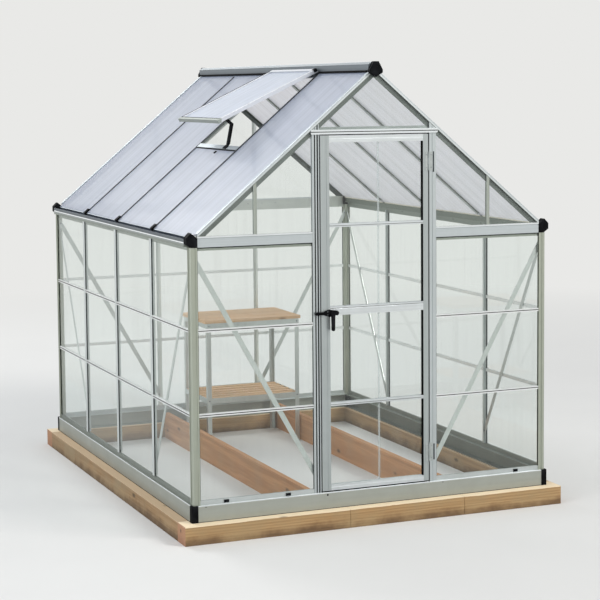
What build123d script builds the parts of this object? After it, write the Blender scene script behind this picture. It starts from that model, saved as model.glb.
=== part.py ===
from build123d import *
from math import atan2, cos, radians, sin, tan
import os

# A hobby greenhouse on a timber plinth. Millimetres, Z up, ground at Z 0.
# The door gable faces minus Y, and the origin is the middle of the plan at ground level.

# Driving dimensions of the house
house_width = 1850.0
house_length = 2430.0
roof_edge_height = 1296.0
ridge_height = 2080.0
side_bays = 4
back_bays = 3
door_bay_width = 644.0
clearance = 0.3

# Timber plinth
plinth_height = 90.0
plinth_overhang = 60.0
timber_width = 110.0
timber_joint = 2.0
front_timber_joints = (-163.0, 444.0)
side_timber_joints = (-651.0, 637.0)

# Base skirt and its glazing channel
skirt_height = 78.0
skirt_proud = 8.0
skirt_wall = 4.0
base_depth = 34.0
mitre_room = 1.0
channel_height = 22.0
channel_wall = 3.0
base_cap_leg = 22.0
base_cap_proud = 1.5
base_cap_round = 7.0

# Glazing layers, measured inwards from the outer face of a wall
cap_depth = 5.0
seat_depth = 10.0
lip_depth = 14.0
glass_thickness = 4.0
groove_reach = 11.0

# Posts, bars and rails
post_width = 36.0
post_round = 9.0
post_face = 17.0
post_flute_end = 28.0
post_flute_depth = 2.5
post_leg_depth = 24.0
bar_cap_width = 26.0
bar_cap_bevel = 2.0
bar_lip_width = 22.0
bar_web = 6.0
bar_stem = 4.0
bar_depth = 22.0
bar_foot_width = 10.0
bar_foot_thickness = 2.0
gable_bar_cap_width = 16.0
gable_bar_lip_width = 14.0
rail_height = 16.0
rail_web = 3.0
rail_step = 1.0
lower_rail_height = 495.0
upper_rail_height = 885.0
brace_end_height = 48.0
brace_thickness = 3.0
brace_top_gap = 10.0
brace_foot_gap = 40.0
brace_lap = 12.0
brace_bar_gap = 2.0

# Eave beams, gutters and caps
eave_beam_drop = 28.0
eave_beam_height = 50.0
eave_groove = 11.0
eave_lip_drop = 16.0
eave_face_height = 36.0
eave_bead_gap = 4.0
eave_bead_depth = 2.0
pane_head_gap = 2.0
gutter_floor_drop = 12.0
gutter_lip_rise = 10.0
gutter_reach = 16.0
gutter_wall = 3.0
gutter_inner = 26.0
gutter_back_wall = 4.0
gutter_glazing_wall = 4.0
eave_cap_reach = 37.0
eave_cap_proud = 6.0
eave_cap_foot = 27.0
eave_cap_shoulder = 18.0
eave_cap_side_height = 28.0
eave_cap_inner_height = 42.0
eave_cap_height = 68.0
eave_cap_peak = 31.0
eave_cap_round = 3.0

# Roof
panel_thickness = 6.0
rafter_depth = 30.0
rafter_drop = 34.0
rafter_face_drop = 12.0
rafter_rise = 3.0
rafter_cover = 22.0
roof_bar_width = 16.0
roof_bar_web = 5.0
roof_bar_drop = 20.0
roof_cap_width = 14.0
roof_cap_rise = 4.0
roof_cap_bevel = 2.0
flange_thickness = 4.0
panel_end_inset = 18.0
ridge_half_width = 32.0
ridge_top_half_width = 13.0
ridge_rise = 28.0
ridge_shoulder_drop = 12.0
ridge_side_height = 28.0
ridge_wall = 3.0
ridge_web = 12.0
ridge_flange_length = 46.0
ridge_cap_thickness = 24.0
ridge_cap_round = 3.0
ridge_cap_proud = 2.0
ridge_cap_low_side = 23.0
ridge_cap_high_side = 9.0
ridge_cap_drop = 43.0
clip_width = 30.0
clip_length = 26.0
clip_thickness = 6.0
clip_leg = 8.0

# Door and its opening
jamb_width = 36.0
jamb_depth = 30.0
jamb_back_width = 20.0
jamb_flute_place = 14.0
jamb_flute_width = 3.0
jamb_flute_depth = 2.0
rebate_place = 5.0
rebate_width = 7.0
rebate_depth = 9.0
seal_groove_place = 19.0
seal_groove_width = 6.0
seal_groove_depth = 4.0
head_bottom = 1771.0
head_height = 22.0
head_proud = 7.0
head_overhang = 6.0
head_flute = 4.0
head_flute_depth = 1.5
head_floor = 6.0
head_groove = 8.0
head_lip_rise = 12.0
head_round = 5.0
door_gap = 6.0
door_depth = 26.0
latch_stile_width = 45.0
hinge_stile_width = 27.0
door_bottom_rail = 28.0
door_top_rail = 32.0
door_mid_rail = 42.0
door_mid_rail_height = 920.0
door_thin_rail = 16.0
door_rail_web = 4.0
door_thin_rail_heights = (497.0, 1344.0)
door_groove = 10.0
door_rib_place = 14.0
door_rib_width = 4.0
door_rib_depth = 1.5
hinge_heights = (180.0, 1590.0)
hinge_length = 90.0
hinge_knuckle_radius = 4.0
hinge_leaf_thickness = 2.0
hinge_leaf_width = 14.0
hinge_leaf_gap = 5.0
latch_height = 932.0
latch_inset = 15.0
latch_plate_width = 60.0
latch_plate_height = 34.0
latch_plate_neck = 20.0
latch_plate_taper = 24.0
latch_plate_thickness = 12.0
latch_plate_round = 3.0
latch_end_radius = 11.0
latch_tongue_round = 5.0
latch_tongue_lap = 10.0
latch_tongue_length = 50.0
latch_tongue_height = 14.0
latch_tongue_thickness = 6.0
spindle_radius = 5.0
spindle_length = 5.0
lever_place = 36.0
lever_length = 83.0
lever_width = 18.0
lever_tip_width = 15.0
lever_thickness = 11.0
lever_boss_radius = 11.0

# Roof vent in the left slope, second bay from the door
vent_sill_distance = 615.0
vent_sill_width = 26.0
vent_sill_lap = 12.0
vent_sill_depth = 12.0
vent_angle = 15.0
vent_hinge_distance = 33.0
vent_hinge_rise = 10.0
vent_frame_width = 22.0
vent_frame_height = 18.0
vent_groove = 14.0
vent_overlap = 4.0
vent_stay_width = 24.0
vent_stay_thickness = 12.0
vent_stay_pad = 4.0
vent_curb_rise = 3.0
vent_stay_place = 182.0
vent_stay_elbow = (70.0, 503.0)
vent_stay_tip = 500.0

# Staging bench and bed boards
bench_width = 570.0
bench_depth = 420.0
bench_height = 745.0
bench_centre = 115.0
bench_shelf_height = 290.0
bench_leg = 25.0
bench_leg_wall = 3.0
bench_rail_height = 30.0
bench_board_thickness = 18.0
bench_board_gap = 4.0
bench_board_overhang = 12.0
bench_boards = 4
bench_slats = 6
bench_slat_width = 30.0
bench_slat_thickness = 12.0
bench_ledge = 12.0
bed_board_thickness = 28.0
bed_board_height = 150.0
bed_board_places = (-284.0, 428.0)

# Heights and places that follow from the sizes above
half_width = house_width / 2
half_length = house_length / 2
skirt_top = plinth_height + skirt_height
channel_top = skirt_top + channel_height
eave_z = plinth_height + roof_edge_height
beam_bottom = eave_z - eave_beam_drop
beam_top = beam_bottom + eave_beam_height
ridge_z = plinth_height + ridge_height
slope = atan2(ridge_z - eave_z, half_width)
side_bay = house_length / side_bays
back_bay = house_width / back_bays
jamb_outer = door_bay_width / 2
jamb_inner = jamb_outer - jamb_width
head_z = plinth_height + head_bottom
door_bottom = skirt_top + door_gap
door_top = head_z - door_gap
door_half = jamb_inner - door_gap
gable_bar_place = (half_width - post_width + jamb_outer) / 2
past = 1.0
glass_seat = (cap_depth + seat_depth - glass_thickness) / 2
glass_edge = bar_web / 2 + clearance

FRONT = Plane(origin=(0, -half_length, 0), x_dir=(1, 0, 0), z_dir=(0, 0, 1))
RIGHT = Plane(origin=(half_width, 0, 0), x_dir=(0, 1, 0), z_dir=(0, 0, 1))
BACK = Plane(origin=(0, half_length, 0), x_dir=(-1, 0, 0), z_dir=(0, 0, 1))
LEFT = Plane(origin=(-half_width, 0, 0), x_dir=(0, -1, 0), z_dir=(0, 0, 1))
RIGHT_SLOPE = Plane(origin=(0, 0, ridge_z), x_dir=(0, 1, 0), z_dir=(cos(slope), 0, -sin(slope)))
LEFT_SLOPE = Plane(origin=(0, 0, ridge_z), x_dir=(0, -1, 0), z_dir=(-cos(slope), 0, -sin(slope)))


# Shapes that repeat
def outline(points):
    return make_face(Polyline(*points, close=True))


def block(low, high):
    size = [b - a for a, b in zip(low, high)]
    middle = [(a + b) / 2 for a, b in zip(low, high)]
    return Pos(*middle) * Box(*size)


def upright(points, bottom, top):
    """An extrusion that stands: points are (along the wall, inwards)."""
    return extrude(Pos(0, 0, bottom) * outline(points), amount=top - bottom)


def lying(points, start, end):
    """An extrusion that runs along a wall: points are (inwards, height)."""
    plane = Plane(origin=(start, 0, 0), x_dir=(0, 1, 0), z_dir=(1, 0, 0))
    return extrude(plane * outline(points), amount=end - start)


def across(points, front, back):
    """An extrusion along the ridge direction: points are (sideways, height)."""
    plane = Plane(origin=(0, front, 0), x_dir=(1, 0, 0), z_dir=(0, -1, 0))
    return extrude(plane * outline(points), amount=-(back - front))


def plate(points, depth, thickness):
    """A flat piece parallel to a wall: points are (along the wall, height)."""
    plane = Plane(origin=(0, depth, 0), x_dir=(1, 0, 0), z_dir=(0, -1, 0))
    return extrude(plane * outline(points), amount=-thickness)


def rectangle(low_x, low_y, high_x, high_y):
    return [(low_x, low_y), (high_x, low_y), (high_x, high_y), (low_x, high_y)]


def both_sides(solid):
    return [solid, mirror(solid, Plane.YZ)]


def four_corners(solid):
    pair = both_sides(solid)
    return pair + [mirror(each, Plane.XZ) for each in pair]


def on(wall, solids):
    return [wall.location * each for each in solids]


def cut(solids, rooms):
    """Each solid without the rooms that other pieces take."""
    kept = []
    for solid in solids:
        for room in rooms:
            solid = solid - room
        kept.append(solid)
    return kept


def roof_height(sideways, normal):
    """Height of the surface that lies normal above the roof's top face."""
    return ridge_z + normal / cos(slope) - tan(slope) * abs(sideways)


def above_roof(normal, margin):
    """Everything above a surface parallel to the two slopes."""
    far = half_width + margin
    low = roof_height(far, normal)
    peak = roof_height(0, normal)
    high = ridge_z + margin
    points = [(-far, low), (0, peak), (far, low), (far, high), (-far, high)]
    return across(points, -house_length, house_length)


beyond = 400.0
under_panel = -panel_thickness - clearance
under_flange = under_panel - flange_thickness
above_beams = above_roof(under_panel, beyond)
above_gable_glass = above_roof(under_flange - clearance, beyond)
above_rafter_face = above_roof(-rafter_face_drop - clearance, beyond)
above_rafter_lip = above_roof(-rafter_drop - clearance, beyond)


def rafter_room(gable):
    """What the rafters take from uprights: their face in front, their deeper lip behind."""
    behind_face = block((-beyond * 3, cap_depth, 0), (beyond * 3, house_length, ridge_z))
    return above_rafter_face + (above_rafter_lip & gable.location * behind_face)


# Plinth
def plinth_front():
    left = -half_width - plinth_overhang
    ends = [left, *front_timber_joints, -left]
    front = -half_length - plinth_overhang
    timbers = []
    for start, end in zip(ends, ends[1:]):
        low = start if start == left else start + timber_joint
        timbers.append(block((low, front, 0), (end, front + timber_width, plinth_height)))
    return timbers


def plinth_back():
    side = half_width + plinth_overhang
    back = half_length + plinth_overhang
    return [block((-side, back - timber_width, 0), (side, back, plinth_height))]


def plinth_sides():
    outer = half_width + plinth_overhang
    end = half_length + plinth_overhang - timber_width
    ends = [-end, *side_timber_joints, end]
    timbers = []
    for start, stop in zip(ends, ends[1:]):
        low = start if start == -end else start + timber_joint
        timbers += both_sides(block((outer - timber_width, low, 0), (outer, stop, plinth_height)))
    return timbers


# Base
def skirt_outline():
    outer = -skirt_proud
    bottom = plinth_height
    return [
        (outer, bottom), (base_depth, bottom), (base_depth, bottom + skirt_wall),
        (outer + skirt_wall, bottom + skirt_wall), (outer + skirt_wall, skirt_top - skirt_wall),
        (base_depth, skirt_top - skirt_wall), (base_depth, skirt_top), (outer, skirt_top),
    ]


def channel_outline():
    front = cap_depth - channel_wall
    floor = skirt_top + channel_height / 2
    return [
        (front, skirt_top), (lip_depth, skirt_top), (lip_depth, channel_top), (seat_depth, channel_top),
        (seat_depth, floor), (cap_depth, floor), (cap_depth, channel_top), (front, channel_top),
    ]


def base_cap():
    reach = skirt_proud + base_cap_proud
    size = base_cap_leg + reach
    square = Rectangle(size, size, align=(Align.MIN, Align.MIN))
    rounded = fillet(square.vertices().sort_by(Axis.X)[0:1].sort_by(Axis.Y)[0:1], base_cap_round)
    solid = extrude(rounded, amount=skirt_height)
    return Pos(-half_width - reach, -half_length - reach, plinth_height) * solid


def base_rail(half_run):
    """One skirt, mitred at both ends and cut back for the corner caps."""
    end = half_run + skirt_proud
    skirt = lying(skirt_outline(), -end, end)
    inside = base_depth + mitre_room
    mitre = [(-end, -skirt_proud), (-end - beyond, -skirt_proud), (-end - beyond, inside),
             (-end + inside + skirt_proud, inside)]
    wedge = upright(mitre, 0, channel_top)
    cap_end = half_run - base_cap_leg
    cap_room = block((-end, -skirt_proud, 0), (-cap_end, base_cap_leg, channel_top))
    return cut([skirt], both_sides(wedge) + both_sides(cap_room))[0]


def channels(spans):
    return [lying(channel_outline(), start, end) for start, end in spans]


def base_front():
    inner = half_width - post_width - clearance
    spans = [(-inner, -jamb_outer - clearance), (jamb_outer + clearance, inner)]
    solid = base_rail(half_width)
    for part in channels(spans):
        solid = solid + part
    return on(FRONT, [solid])


def base_plain(half_run):
    inner = half_run - post_width - clearance
    return base_rail(half_run) + channels([(-inner, inner)])[0]


# Uprights
def corner_post():
    """Corner extrusion: rounded arris, a flute down each face and a glazing groove in each leg."""
    w = post_width
    leg = [
        (0, 0), (post_face, 0), (post_face, post_flute_depth), (post_flute_end, post_flute_depth),
        (post_flute_end, 0), (w, 0), (w, cap_depth), (w - groove_reach, cap_depth),
        (w - groove_reach, seat_depth), (w, seat_depth), (w, lip_depth), (post_leg_depth, lip_depth),
    ]
    section = outline(leg + [(d, a) for a, d in reversed(leg[1:])])
    arris = section.vertices().sort_by_distance((0, 0, 0))[0]
    solid = extrude(Pos(0, 0, skirt_top) * fillet(arris, post_round), amount=beam_bottom - skirt_top)
    return Pos(-half_width, -half_length, 0) * solid


def bar_outline(cap_width, lip_width):
    cap = cap_width / 2
    lip = lip_width / 2
    web = bar_web / 2
    stem = bar_stem / 2
    foot = bar_foot_width / 2
    foot_depth = bar_depth - bar_foot_thickness
    right = [
        (cap - bar_cap_bevel, 0), (cap, bar_cap_bevel), (cap, cap_depth), (web, cap_depth),
        (web, seat_depth), (lip, seat_depth), (lip, lip_depth), (stem, lip_depth),
        (stem, foot_depth), (foot, foot_depth), (foot, bar_depth),
    ]
    return right + [(-a, d) for a, d in reversed(right)]


def wall_bar(place, bottom, top):
    return Pos(place, 0, 0) * upright(bar_outline(bar_cap_width, bar_lip_width), bottom, top)


def side_bar_places():
    return [side_bay * k - half_length for k in range(1, side_bays)]


def back_bar_places():
    return [back_bay * k - half_width for k in range(1, back_bays)]


def side_wall_bars():
    return [wall_bar(place, channel_top, beam_bottom) for place in side_bar_places()]


def back_wall_bars():
    lower = [wall_bar(place, channel_top, beam_bottom) for place in back_bar_places()]
    upper = [wall_bar(place, beam_top, ridge_z) for place in back_bar_places()]
    return on(BACK, lower) + cut(on(BACK, upper), [rafter_room(BACK)])


def front_gable_bars():
    section = bar_outline(gable_bar_cap_width, gable_bar_lip_width)
    bar = FRONT.location * Pos(gable_bar_place, 0, 0) * upright(section, beam_top, ridge_z)
    return both_sides(bar - rafter_room(FRONT))


# Doorway
def door_jamb(flutes):
    """A jamb at the right, from the skirt to the rafter: fluted face, glazing groove, back flange."""
    groove = jamb_outer - groove_reach
    back = jamb_inner + jamb_back_width
    points = [(jamb_inner, 0)]
    for place, width, depth in flutes:
        low = jamb_inner + place
        points += [(low, 0), (low, depth), (low + width, depth), (low + width, 0)]
    points += [
        (jamb_outer, 0), (jamb_outer, cap_depth), (groove, cap_depth), (groove, seat_depth),
        (jamb_outer, seat_depth), (jamb_outer, lip_depth), (back, lip_depth), (back, jamb_depth),
        (jamb_inner, jamb_depth),
    ]
    return FRONT.location * upright(points, skirt_top, ridge_z) - rafter_room(FRONT)


def door_jambs():
    """Hinge jamb at the right; the latch jamb has a closing rebate and a groove for its seal."""
    rebate = (rebate_place, rebate_width, rebate_depth)
    seal_groove = (seal_groove_place, seal_groove_width, seal_groove_depth)
    hinge_jamb = door_jamb([(jamb_flute_place, jamb_flute_width, jamb_flute_depth)])
    return [hinge_jamb, mirror(door_jamb([rebate, seal_groove]), Plane.YZ)]


def door_head():
    """Ribbed bar laid over both jambs, and the channel between them that holds the gable glass."""
    top = head_z + head_height
    floor = head_z + head_floor
    channel = [
        (0, head_z), (jamb_depth, head_z), (jamb_depth, floor), (lip_depth, floor),
        (lip_depth, top + head_lip_rise), (seat_depth, top + head_lip_rise),
        (seat_depth, top - head_groove),
        (cap_depth, top - head_groove), (cap_depth, top), (0, top),
    ]
    run = jamb_inner - clearance
    inner = FRONT.location * lying(channel, -run, run) - rafter_room(FRONT)
    middle = head_z + head_height / 2
    low, high = middle - head_flute / 2, middle + head_flute / 2
    ribbed = [
        (0, head_z), (0, top), (-head_proud, top), (-head_proud, high),
        (head_flute_depth - head_proud, high),
        (head_flute_depth - head_proud, low), (-head_proud, low), (-head_proud, head_z),
    ]
    reach = jamb_outer + head_overhang
    bar = lying(ribbed, -reach, reach)
    ends = bar.edges().filter_by(Axis.Y).group_by(Axis.X)
    corners = [edge for edge in ends[0] + ends[-1] if abs(edge.center().Z - middle) > head_flute]
    return [inner + FRONT.location * fillet(corners, head_round)]


# Eaves
def eave_beam_outline():
    """Gable beam: broad face with a bead line near its top, and a glass groove above and below."""
    low, high = beam_bottom, beam_top
    bead = low + eave_face_height
    return [
        (0, low), (cap_depth, low), (cap_depth, low + eave_groove), (seat_depth, low + eave_groove),
        (seat_depth, low), (lip_depth, low), (lip_depth, high), (seat_depth, high),
        (seat_depth, high - eave_groove), (cap_depth, high - eave_groove), (cap_depth, high), (0, high),
        (0, bead + eave_bead_gap), (eave_bead_depth, bead + eave_bead_gap), (eave_bead_depth, bead),
        (0, bead),
    ]


def hanging_lips(spans):
    """The inner lip of a beam, which hangs lower than its face in each bay."""
    points = rectangle(seat_depth, beam_bottom - eave_lip_drop, lip_depth, beam_bottom)
    return [lying(points, start, end) for start, end in spans]


def bay_lips(places, half_run):
    inner = half_run - post_width - clearance
    gap = bar_lip_width / 2 + clearance
    lows = [-inner] + [place + gap for place in places]
    highs = [place - gap for place in places] + [inner]
    return hanging_lips(zip(lows, highs))


def front_eave_beams():
    start = jamb_outer + clearance
    beam = lying(eave_beam_outline(), start, half_width - eave_cap_reach)
    lip = hanging_lips([(start, half_width - post_width - clearance)])[0]
    return both_sides(FRONT.location * (beam + lip) - above_beams)


def back_eave_beam():
    run = half_width - eave_cap_reach
    beam = lying(eave_beam_outline(), -run, run)
    for lip in bay_lips(back_bar_places(), half_width):
        beam = beam + lip
    return cut(on(BACK, [beam]), [above_beams])


def gutter():
    """Trough along the eave, with the side glazing groove under it."""
    floor = eave_z - gutter_floor_drop
    lip = eave_z + gutter_lip_rise
    low = beam_bottom
    back_wall = gutter_inner + gutter_back_wall
    top_front = roof_height(half_width - gutter_inner, under_panel)
    top_back = roof_height(half_width - back_wall, under_panel)
    under = floor - gutter_wall
    front = cap_depth - gutter_glazing_wall
    ceiling = under - gutter_wall
    points = [
        (front, low), (cap_depth, low), (cap_depth, ceiling), (seat_depth, ceiling), (seat_depth, low),
        (lip_depth, low), (lip_depth, under), (back_wall, under), (back_wall, top_back),
        (gutter_inner, top_front), (gutter_inner, floor), (gutter_wall - gutter_reach, floor),
        (gutter_wall - gutter_reach, lip), (-gutter_reach, lip), (-gutter_reach, low + gutter_wall),
        (front, low + gutter_wall),
    ]
    run = half_length - eave_cap_reach
    beam = lying(points, -run, run)
    for hanging in bay_lips(side_bar_places(), half_length):
        beam = beam + hanging
    return beam


def eave_cap():
    """Moulded corner cap that the gutter, the beams and the rafter foot run into."""
    inner = eave_cap_reach - half_width
    outer = -half_width - gutter_reach
    z = beam_bottom
    points = [
        (inner, z), (inner - eave_cap_foot, z), (outer, z + eave_cap_shoulder),
        (outer, z + eave_cap_shoulder + eave_cap_side_height), (inner - eave_cap_peak, z + eave_cap_height),
        (inner, z + eave_cap_inner_height),
    ]
    body = across(points, -half_length - eave_cap_proud, eave_cap_reach - half_length)
    front = body.faces().sort_by(Axis.Y)[0]
    return chamfer(front.edges(), eave_cap_round)


def eave_cap_room(run):
    """Room for the corner caps at both ends of a wall, in the wall's own frame."""
    near = run - eave_cap_reach - clearance
    return both_sides(block((near, -beyond, beam_bottom - clearance), (run + beyond, beyond, ridge_z)))


# Roof
def rafter_outline():
    """Gable rafter: broad face, cover over the sheet, shelf under it, and a deeper lip behind the glass."""
    face = -rafter_face_drop
    low = -rafter_drop
    return [
        (0, face), (cap_depth, face), (cap_depth, under_flange), (seat_depth, under_flange),
        (seat_depth, low), (lip_depth, low), (lip_depth, under_flange), (rafter_depth, under_flange),
        (rafter_depth, under_panel), (cap_depth, under_panel), (cap_depth, clearance),
        (rafter_cover, clearance),
        (rafter_cover, rafter_rise), (0, rafter_rise),
    ]


def roof_run():
    return half_width / cos(slope)


def front_rafter():
    """Right hand rafter of the door gable."""
    profile = [(d - half_length, n) for d, n in rafter_outline()]
    length = roof_run() + beyond
    plane = Plane(origin=(0, 0, -beyond), x_dir=(1, 0, 0), z_dir=(0, 0, 1))
    solid = RIGHT_SLOPE.location * extrude(plane * outline(profile), amount=length + beyond)
    apex_room = block((-beyond, -house_length, 0), (clearance / 2, house_length, ridge_z + beyond))
    foot_room = block((0, -house_length, 0), (house_width, house_length, beam_top))
    cap_room = block((half_width - eave_cap_reach, -house_length, 0), (house_width, house_length, ridge_z))
    return solid - apex_room - foot_room - cap_room


def roof_bar():
    """Bar between two roof panels: flange and stem below, dark capping strip above."""
    flange = roof_bar_width / 2
    web = roof_bar_web / 2
    stem = bar_stem / 2
    cap = roof_cap_width / 2
    right = [
        (stem, -roof_bar_drop), (stem, under_flange), (flange, under_flange), (flange, under_panel),
        (web, under_panel), (web, clearance), (cap, clearance), (cap - roof_cap_bevel, roof_cap_rise),
    ]
    return right + [(-w, n) for w, n in reversed(right)]


def along_slope(points, start, end):
    return extrude(Pos(0, 0, start) * outline(points), amount=end - start)


def bar_top():
    return (ridge_half_width + clearance) / cos(slope) + rafter_rise * tan(slope)


def bar_foot():
    inside = half_width - gutter_inner - gutter_back_wall - clearance
    return inside / cos(slope) - roof_bar_drop * tan(slope)


def roof_bars():
    """The capping runs to the end of the sheets; flange and stem stop short of the gutter."""
    bar = along_slope(roof_bar(), bar_top(), panel_end())
    wide = roof_bar_width / 2 + past
    bar = bar - block((-wide, -roof_bar_drop - past, bar_foot()), (wide, under_panel, panel_end() + past))
    return [Pos(place, 0, 0) * bar for place in side_bar_places()]


def panel_places():
    edge = cap_depth + clearance
    inner = roof_bar_web / 2 + clearance
    bars = side_bar_places()
    lows = [-half_length + edge] + [place + inner for place in bars]
    highs = [place - inner for place in bars] + [half_length - edge]
    return list(zip(lows, highs))


def panel_start():
    return (ridge_web / 2 + clearance + panel_thickness * sin(slope)) / cos(slope)


def panel_end():
    return (half_width - panel_end_inset) / cos(slope)


def roof_panel(span, start, end):
    low, high = span
    return block((low, -panel_thickness, start), (high, 0, end))


def roof_panels(vent_bay):
    panels = []
    for number, span in enumerate(panel_places()):
        start = vent_sill_distance + clearance if number == vent_bay else panel_start()
        panels.append(roof_panel(span, start, panel_end()))
    return panels


def clear_of_eave_caps(panels):
    reach = eave_cap_reach + clearance
    rooms = four_corners(block((half_width - reach, half_length - reach, 0),
                               (house_width, house_length, ridge_z)))
    return cut(panels, rooms)


def ridge_beam():
    """Hood over the sheet ends, a web with a flange under each slope, notched for the roof bars."""
    top = ridge_z + ridge_rise
    shoulder = top - ridge_shoulder_drop
    drip = shoulder - ridge_side_height
    inner = ridge_half_width - ridge_wall
    ceiling = ridge_z + rafter_rise / cos(slope) + clearance
    right = [(ridge_top_half_width, top), (ridge_half_width, shoulder), (ridge_half_width, drip),
             (inner, drip), (inner, ceiling)]
    hood = across(right + [(-x, z) for x, z in reversed(right)], -half_length, half_length)
    web = ridge_web / 2
    reach = ridge_flange_length * cos(slope)
    lower = [
        (web, ceiling), (web, roof_height(web, under_panel)), (reach, roof_height(reach, under_panel)),
        (reach, roof_height(reach, under_flange)), (0, roof_height(0, under_flange)),
    ]
    end = half_length - rafter_depth - clearance
    stem = across(lower + [(-x, z) for x, z in reversed(lower[:-1])], -end, end)
    web_room = block((-web, -house_length, 0), (web, house_length, ridge_z))
    half_notch = roof_bar_width / 2 + clearance
    for place in side_bar_places():
        notch = block((-reach - past, place - half_notch, 0),
                      (reach + past, place + half_notch, roof_height(0, under_flange)))
        stem = stem - (notch - web_room)
    return [hood + stem]


def ridge_cap():
    wide = ridge_half_width + ridge_cap_proud
    top = ridge_z + ridge_rise + ridge_cap_proud
    high = ridge_z - ridge_cap_high_side
    right = [(ridge_top_half_width, top), (wide, high), (wide, ridge_z - ridge_cap_low_side)]
    points = right + [(0, ridge_z - ridge_cap_drop)] + [(-x, z) for x, z in reversed(right)]
    body = across(points, -half_length - ridge_cap_thickness, -half_length)
    return chamfer(body.faces().sort_by(Axis.Y)[0].edges(), ridge_cap_round)


def roof_clips():
    """Clips over the capping's foot, turned down past the ends of the sheets."""
    end = panel_end()
    low = clearance + roof_cap_rise
    high = low + clip_thickness
    near = end + clearance
    far = near + clip_thickness
    points = [(low, end - clip_length), (high, end - clip_length), (high, far), (-clip_leg, far),
              (-clip_leg, near), (low, near)]
    plane = Plane(origin=(-clip_width / 2, 0, 0), x_dir=(0, 1, 0), z_dir=(1, 0, 0))
    clip = extrude(plane * outline(points), amount=clip_width)
    return [Pos(place, 0, 0) * clip for place in side_bar_places()]


# Wall glass
def pane_rows():
    gap = rail_web / 2 + clearance
    lower = plinth_height + lower_rail_height
    upper = plinth_height + upper_rail_height
    floor = skirt_top + channel_height / 2 + clearance
    ceiling = beam_bottom + eave_groove - pane_head_gap - clearance
    return [(floor, lower - gap), (lower + gap, upper - gap), (upper + gap, ceiling)]


def bay_spans(places, first, last):
    edges = [first] + list(places) + [last]
    spans = []
    for low, high in zip(edges, edges[1:]):
        start = low if low == first else low + glass_edge
        end = high if high == last else high - glass_edge
        spans.append((start, end))
    return spans


def panes(spans):
    solids = []
    for low, high in spans:
        for bottom, top in pane_rows():
            solids.append(block((low, glass_seat, bottom), (high, glass_seat + glass_thickness, top)))
    return solids


def post_glass_edge(half_run):
    return half_run - post_width + groove_reach - clearance


def rail_outline(height):
    face = rail_height / 2
    web = rail_web / 2
    back = lip_depth - rail_step
    return [
        (rail_step, height - face), (cap_depth, height - face), (cap_depth, height - web),
        (seat_depth, height - web), (seat_depth, height - face), (back, height - face),
        (back, height + face), (seat_depth, height + face), (seat_depth, height + web),
        (cap_depth, height + web), (cap_depth, height + face), (rail_step, height + face),
    ]


def rails(places, half_run):
    inner = half_run - post_width - clearance
    cap = bar_cap_width / 2 + clearance
    edges = [-inner] + list(places) + [inner]
    solids = []
    for low, high in zip(edges, edges[1:]):
        start = low if low == -inner else low + cap
        end = high if high == inner else high - cap
        for height in (lower_rail_height, upper_rail_height):
            solids.append(lying(rail_outline(plinth_height + height), start, end))
    return solids


def front_rails():
    solids = []
    for height in (lower_rail_height, upper_rail_height):
        rail = lying(rail_outline(plinth_height + height), jamb_outer + clearance,
                     half_width - post_width - clearance)
        solids += both_sides(FRONT.location * rail)
    return solids


def pane_rails():
    side = rails(side_bar_places(), half_length)
    return front_rails() + on(BACK, rails(back_bar_places(), half_width)) + on(LEFT, side) + on(RIGHT, side)


def front_gable_panes():
    bottom = beam_top - eave_groove + clearance
    edge = jamb_outer - groove_reach + clearance
    corner = half_width - eave_cap_reach - clearance
    side = plate(rectangle(edge, bottom, corner, ridge_z), glass_seat, glass_thickness)
    side = FRONT.location * side - above_gable_glass
    bar = block((gable_bar_place - glass_edge, -half_length, 0),
                (gable_bar_place + glass_edge, -half_length + lip_depth, ridge_z))
    over = head_z + head_height - head_groove + clearance
    run = jamb_inner - clearance
    middle = plate(rectangle(-run, over, run, ridge_z), glass_seat, glass_thickness)
    sides = [piece for whole in (side - bar).solids() for piece in both_sides(whole)]
    return sides + [FRONT.location * middle - above_gable_glass]


def front_wall_glass():
    edge = jamb_outer - groove_reach + clearance
    right = cut(panes([(edge, post_glass_edge(half_width))]), eave_cap_room(half_width))
    right = on(FRONT, right)
    return right + [mirror(each, Plane.YZ) for each in right] + front_gable_panes()


def back_wall_glass():
    edge = post_glass_edge(half_width)
    lower = panes(bay_spans(back_bar_places(), -edge, edge))
    lower = on(BACK, cut(lower, eave_cap_room(half_width)))
    bottom = beam_top - eave_groove + clearance
    corner = half_width - eave_cap_reach - clearance
    sheet = BACK.location * plate(rectangle(-corner, bottom, corner, ridge_z), glass_seat, glass_thickness)
    sheet = sheet - above_gable_glass
    for place in back_bar_places():
        sheet = sheet - block((place - glass_edge, half_length - lip_depth, 0),
                              (place + glass_edge, half_length, ridge_z))
    return lower + list(sheet.solids())


def side_wall_glass():
    edge = post_glass_edge(half_length)
    return cut(panes(bay_spans(side_bar_places(), -edge, edge)), eave_cap_room(half_length))


# Braces inside the glass
def brace(high_place, low_place):
    top = beam_bottom - eave_lip_drop - brace_top_gap
    bottom = channel_top + brace_foot_gap
    points = [(high_place, top - brace_end_height), (low_place, bottom),
              (low_place, bottom + brace_end_height), (high_place, top)]
    return plate(points, lip_depth, brace_thickness)


def wall_braces():
    """A brace in each end bay, from the corner post down to the next upright."""
    stem_gap = bar_stem / 2 + brace_bar_gap
    side = brace(half_length - post_width + brace_lap, half_length - side_bay + stem_gap)
    back = brace(half_width - post_width + brace_lap, half_width - back_bay + stem_gap)
    front = brace(half_width - post_width + brace_lap, jamb_inner + jamb_back_width + brace_bar_gap)
    solids = on(LEFT, both_sides(side)) + on(RIGHT, both_sides(side))
    return solids + on(BACK, both_sides(back)) + on(FRONT, both_sides(front))


# Vent
def vent_span():
    low, high = side_bar_places()[1], side_bar_places()[2]
    return low, high


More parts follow.
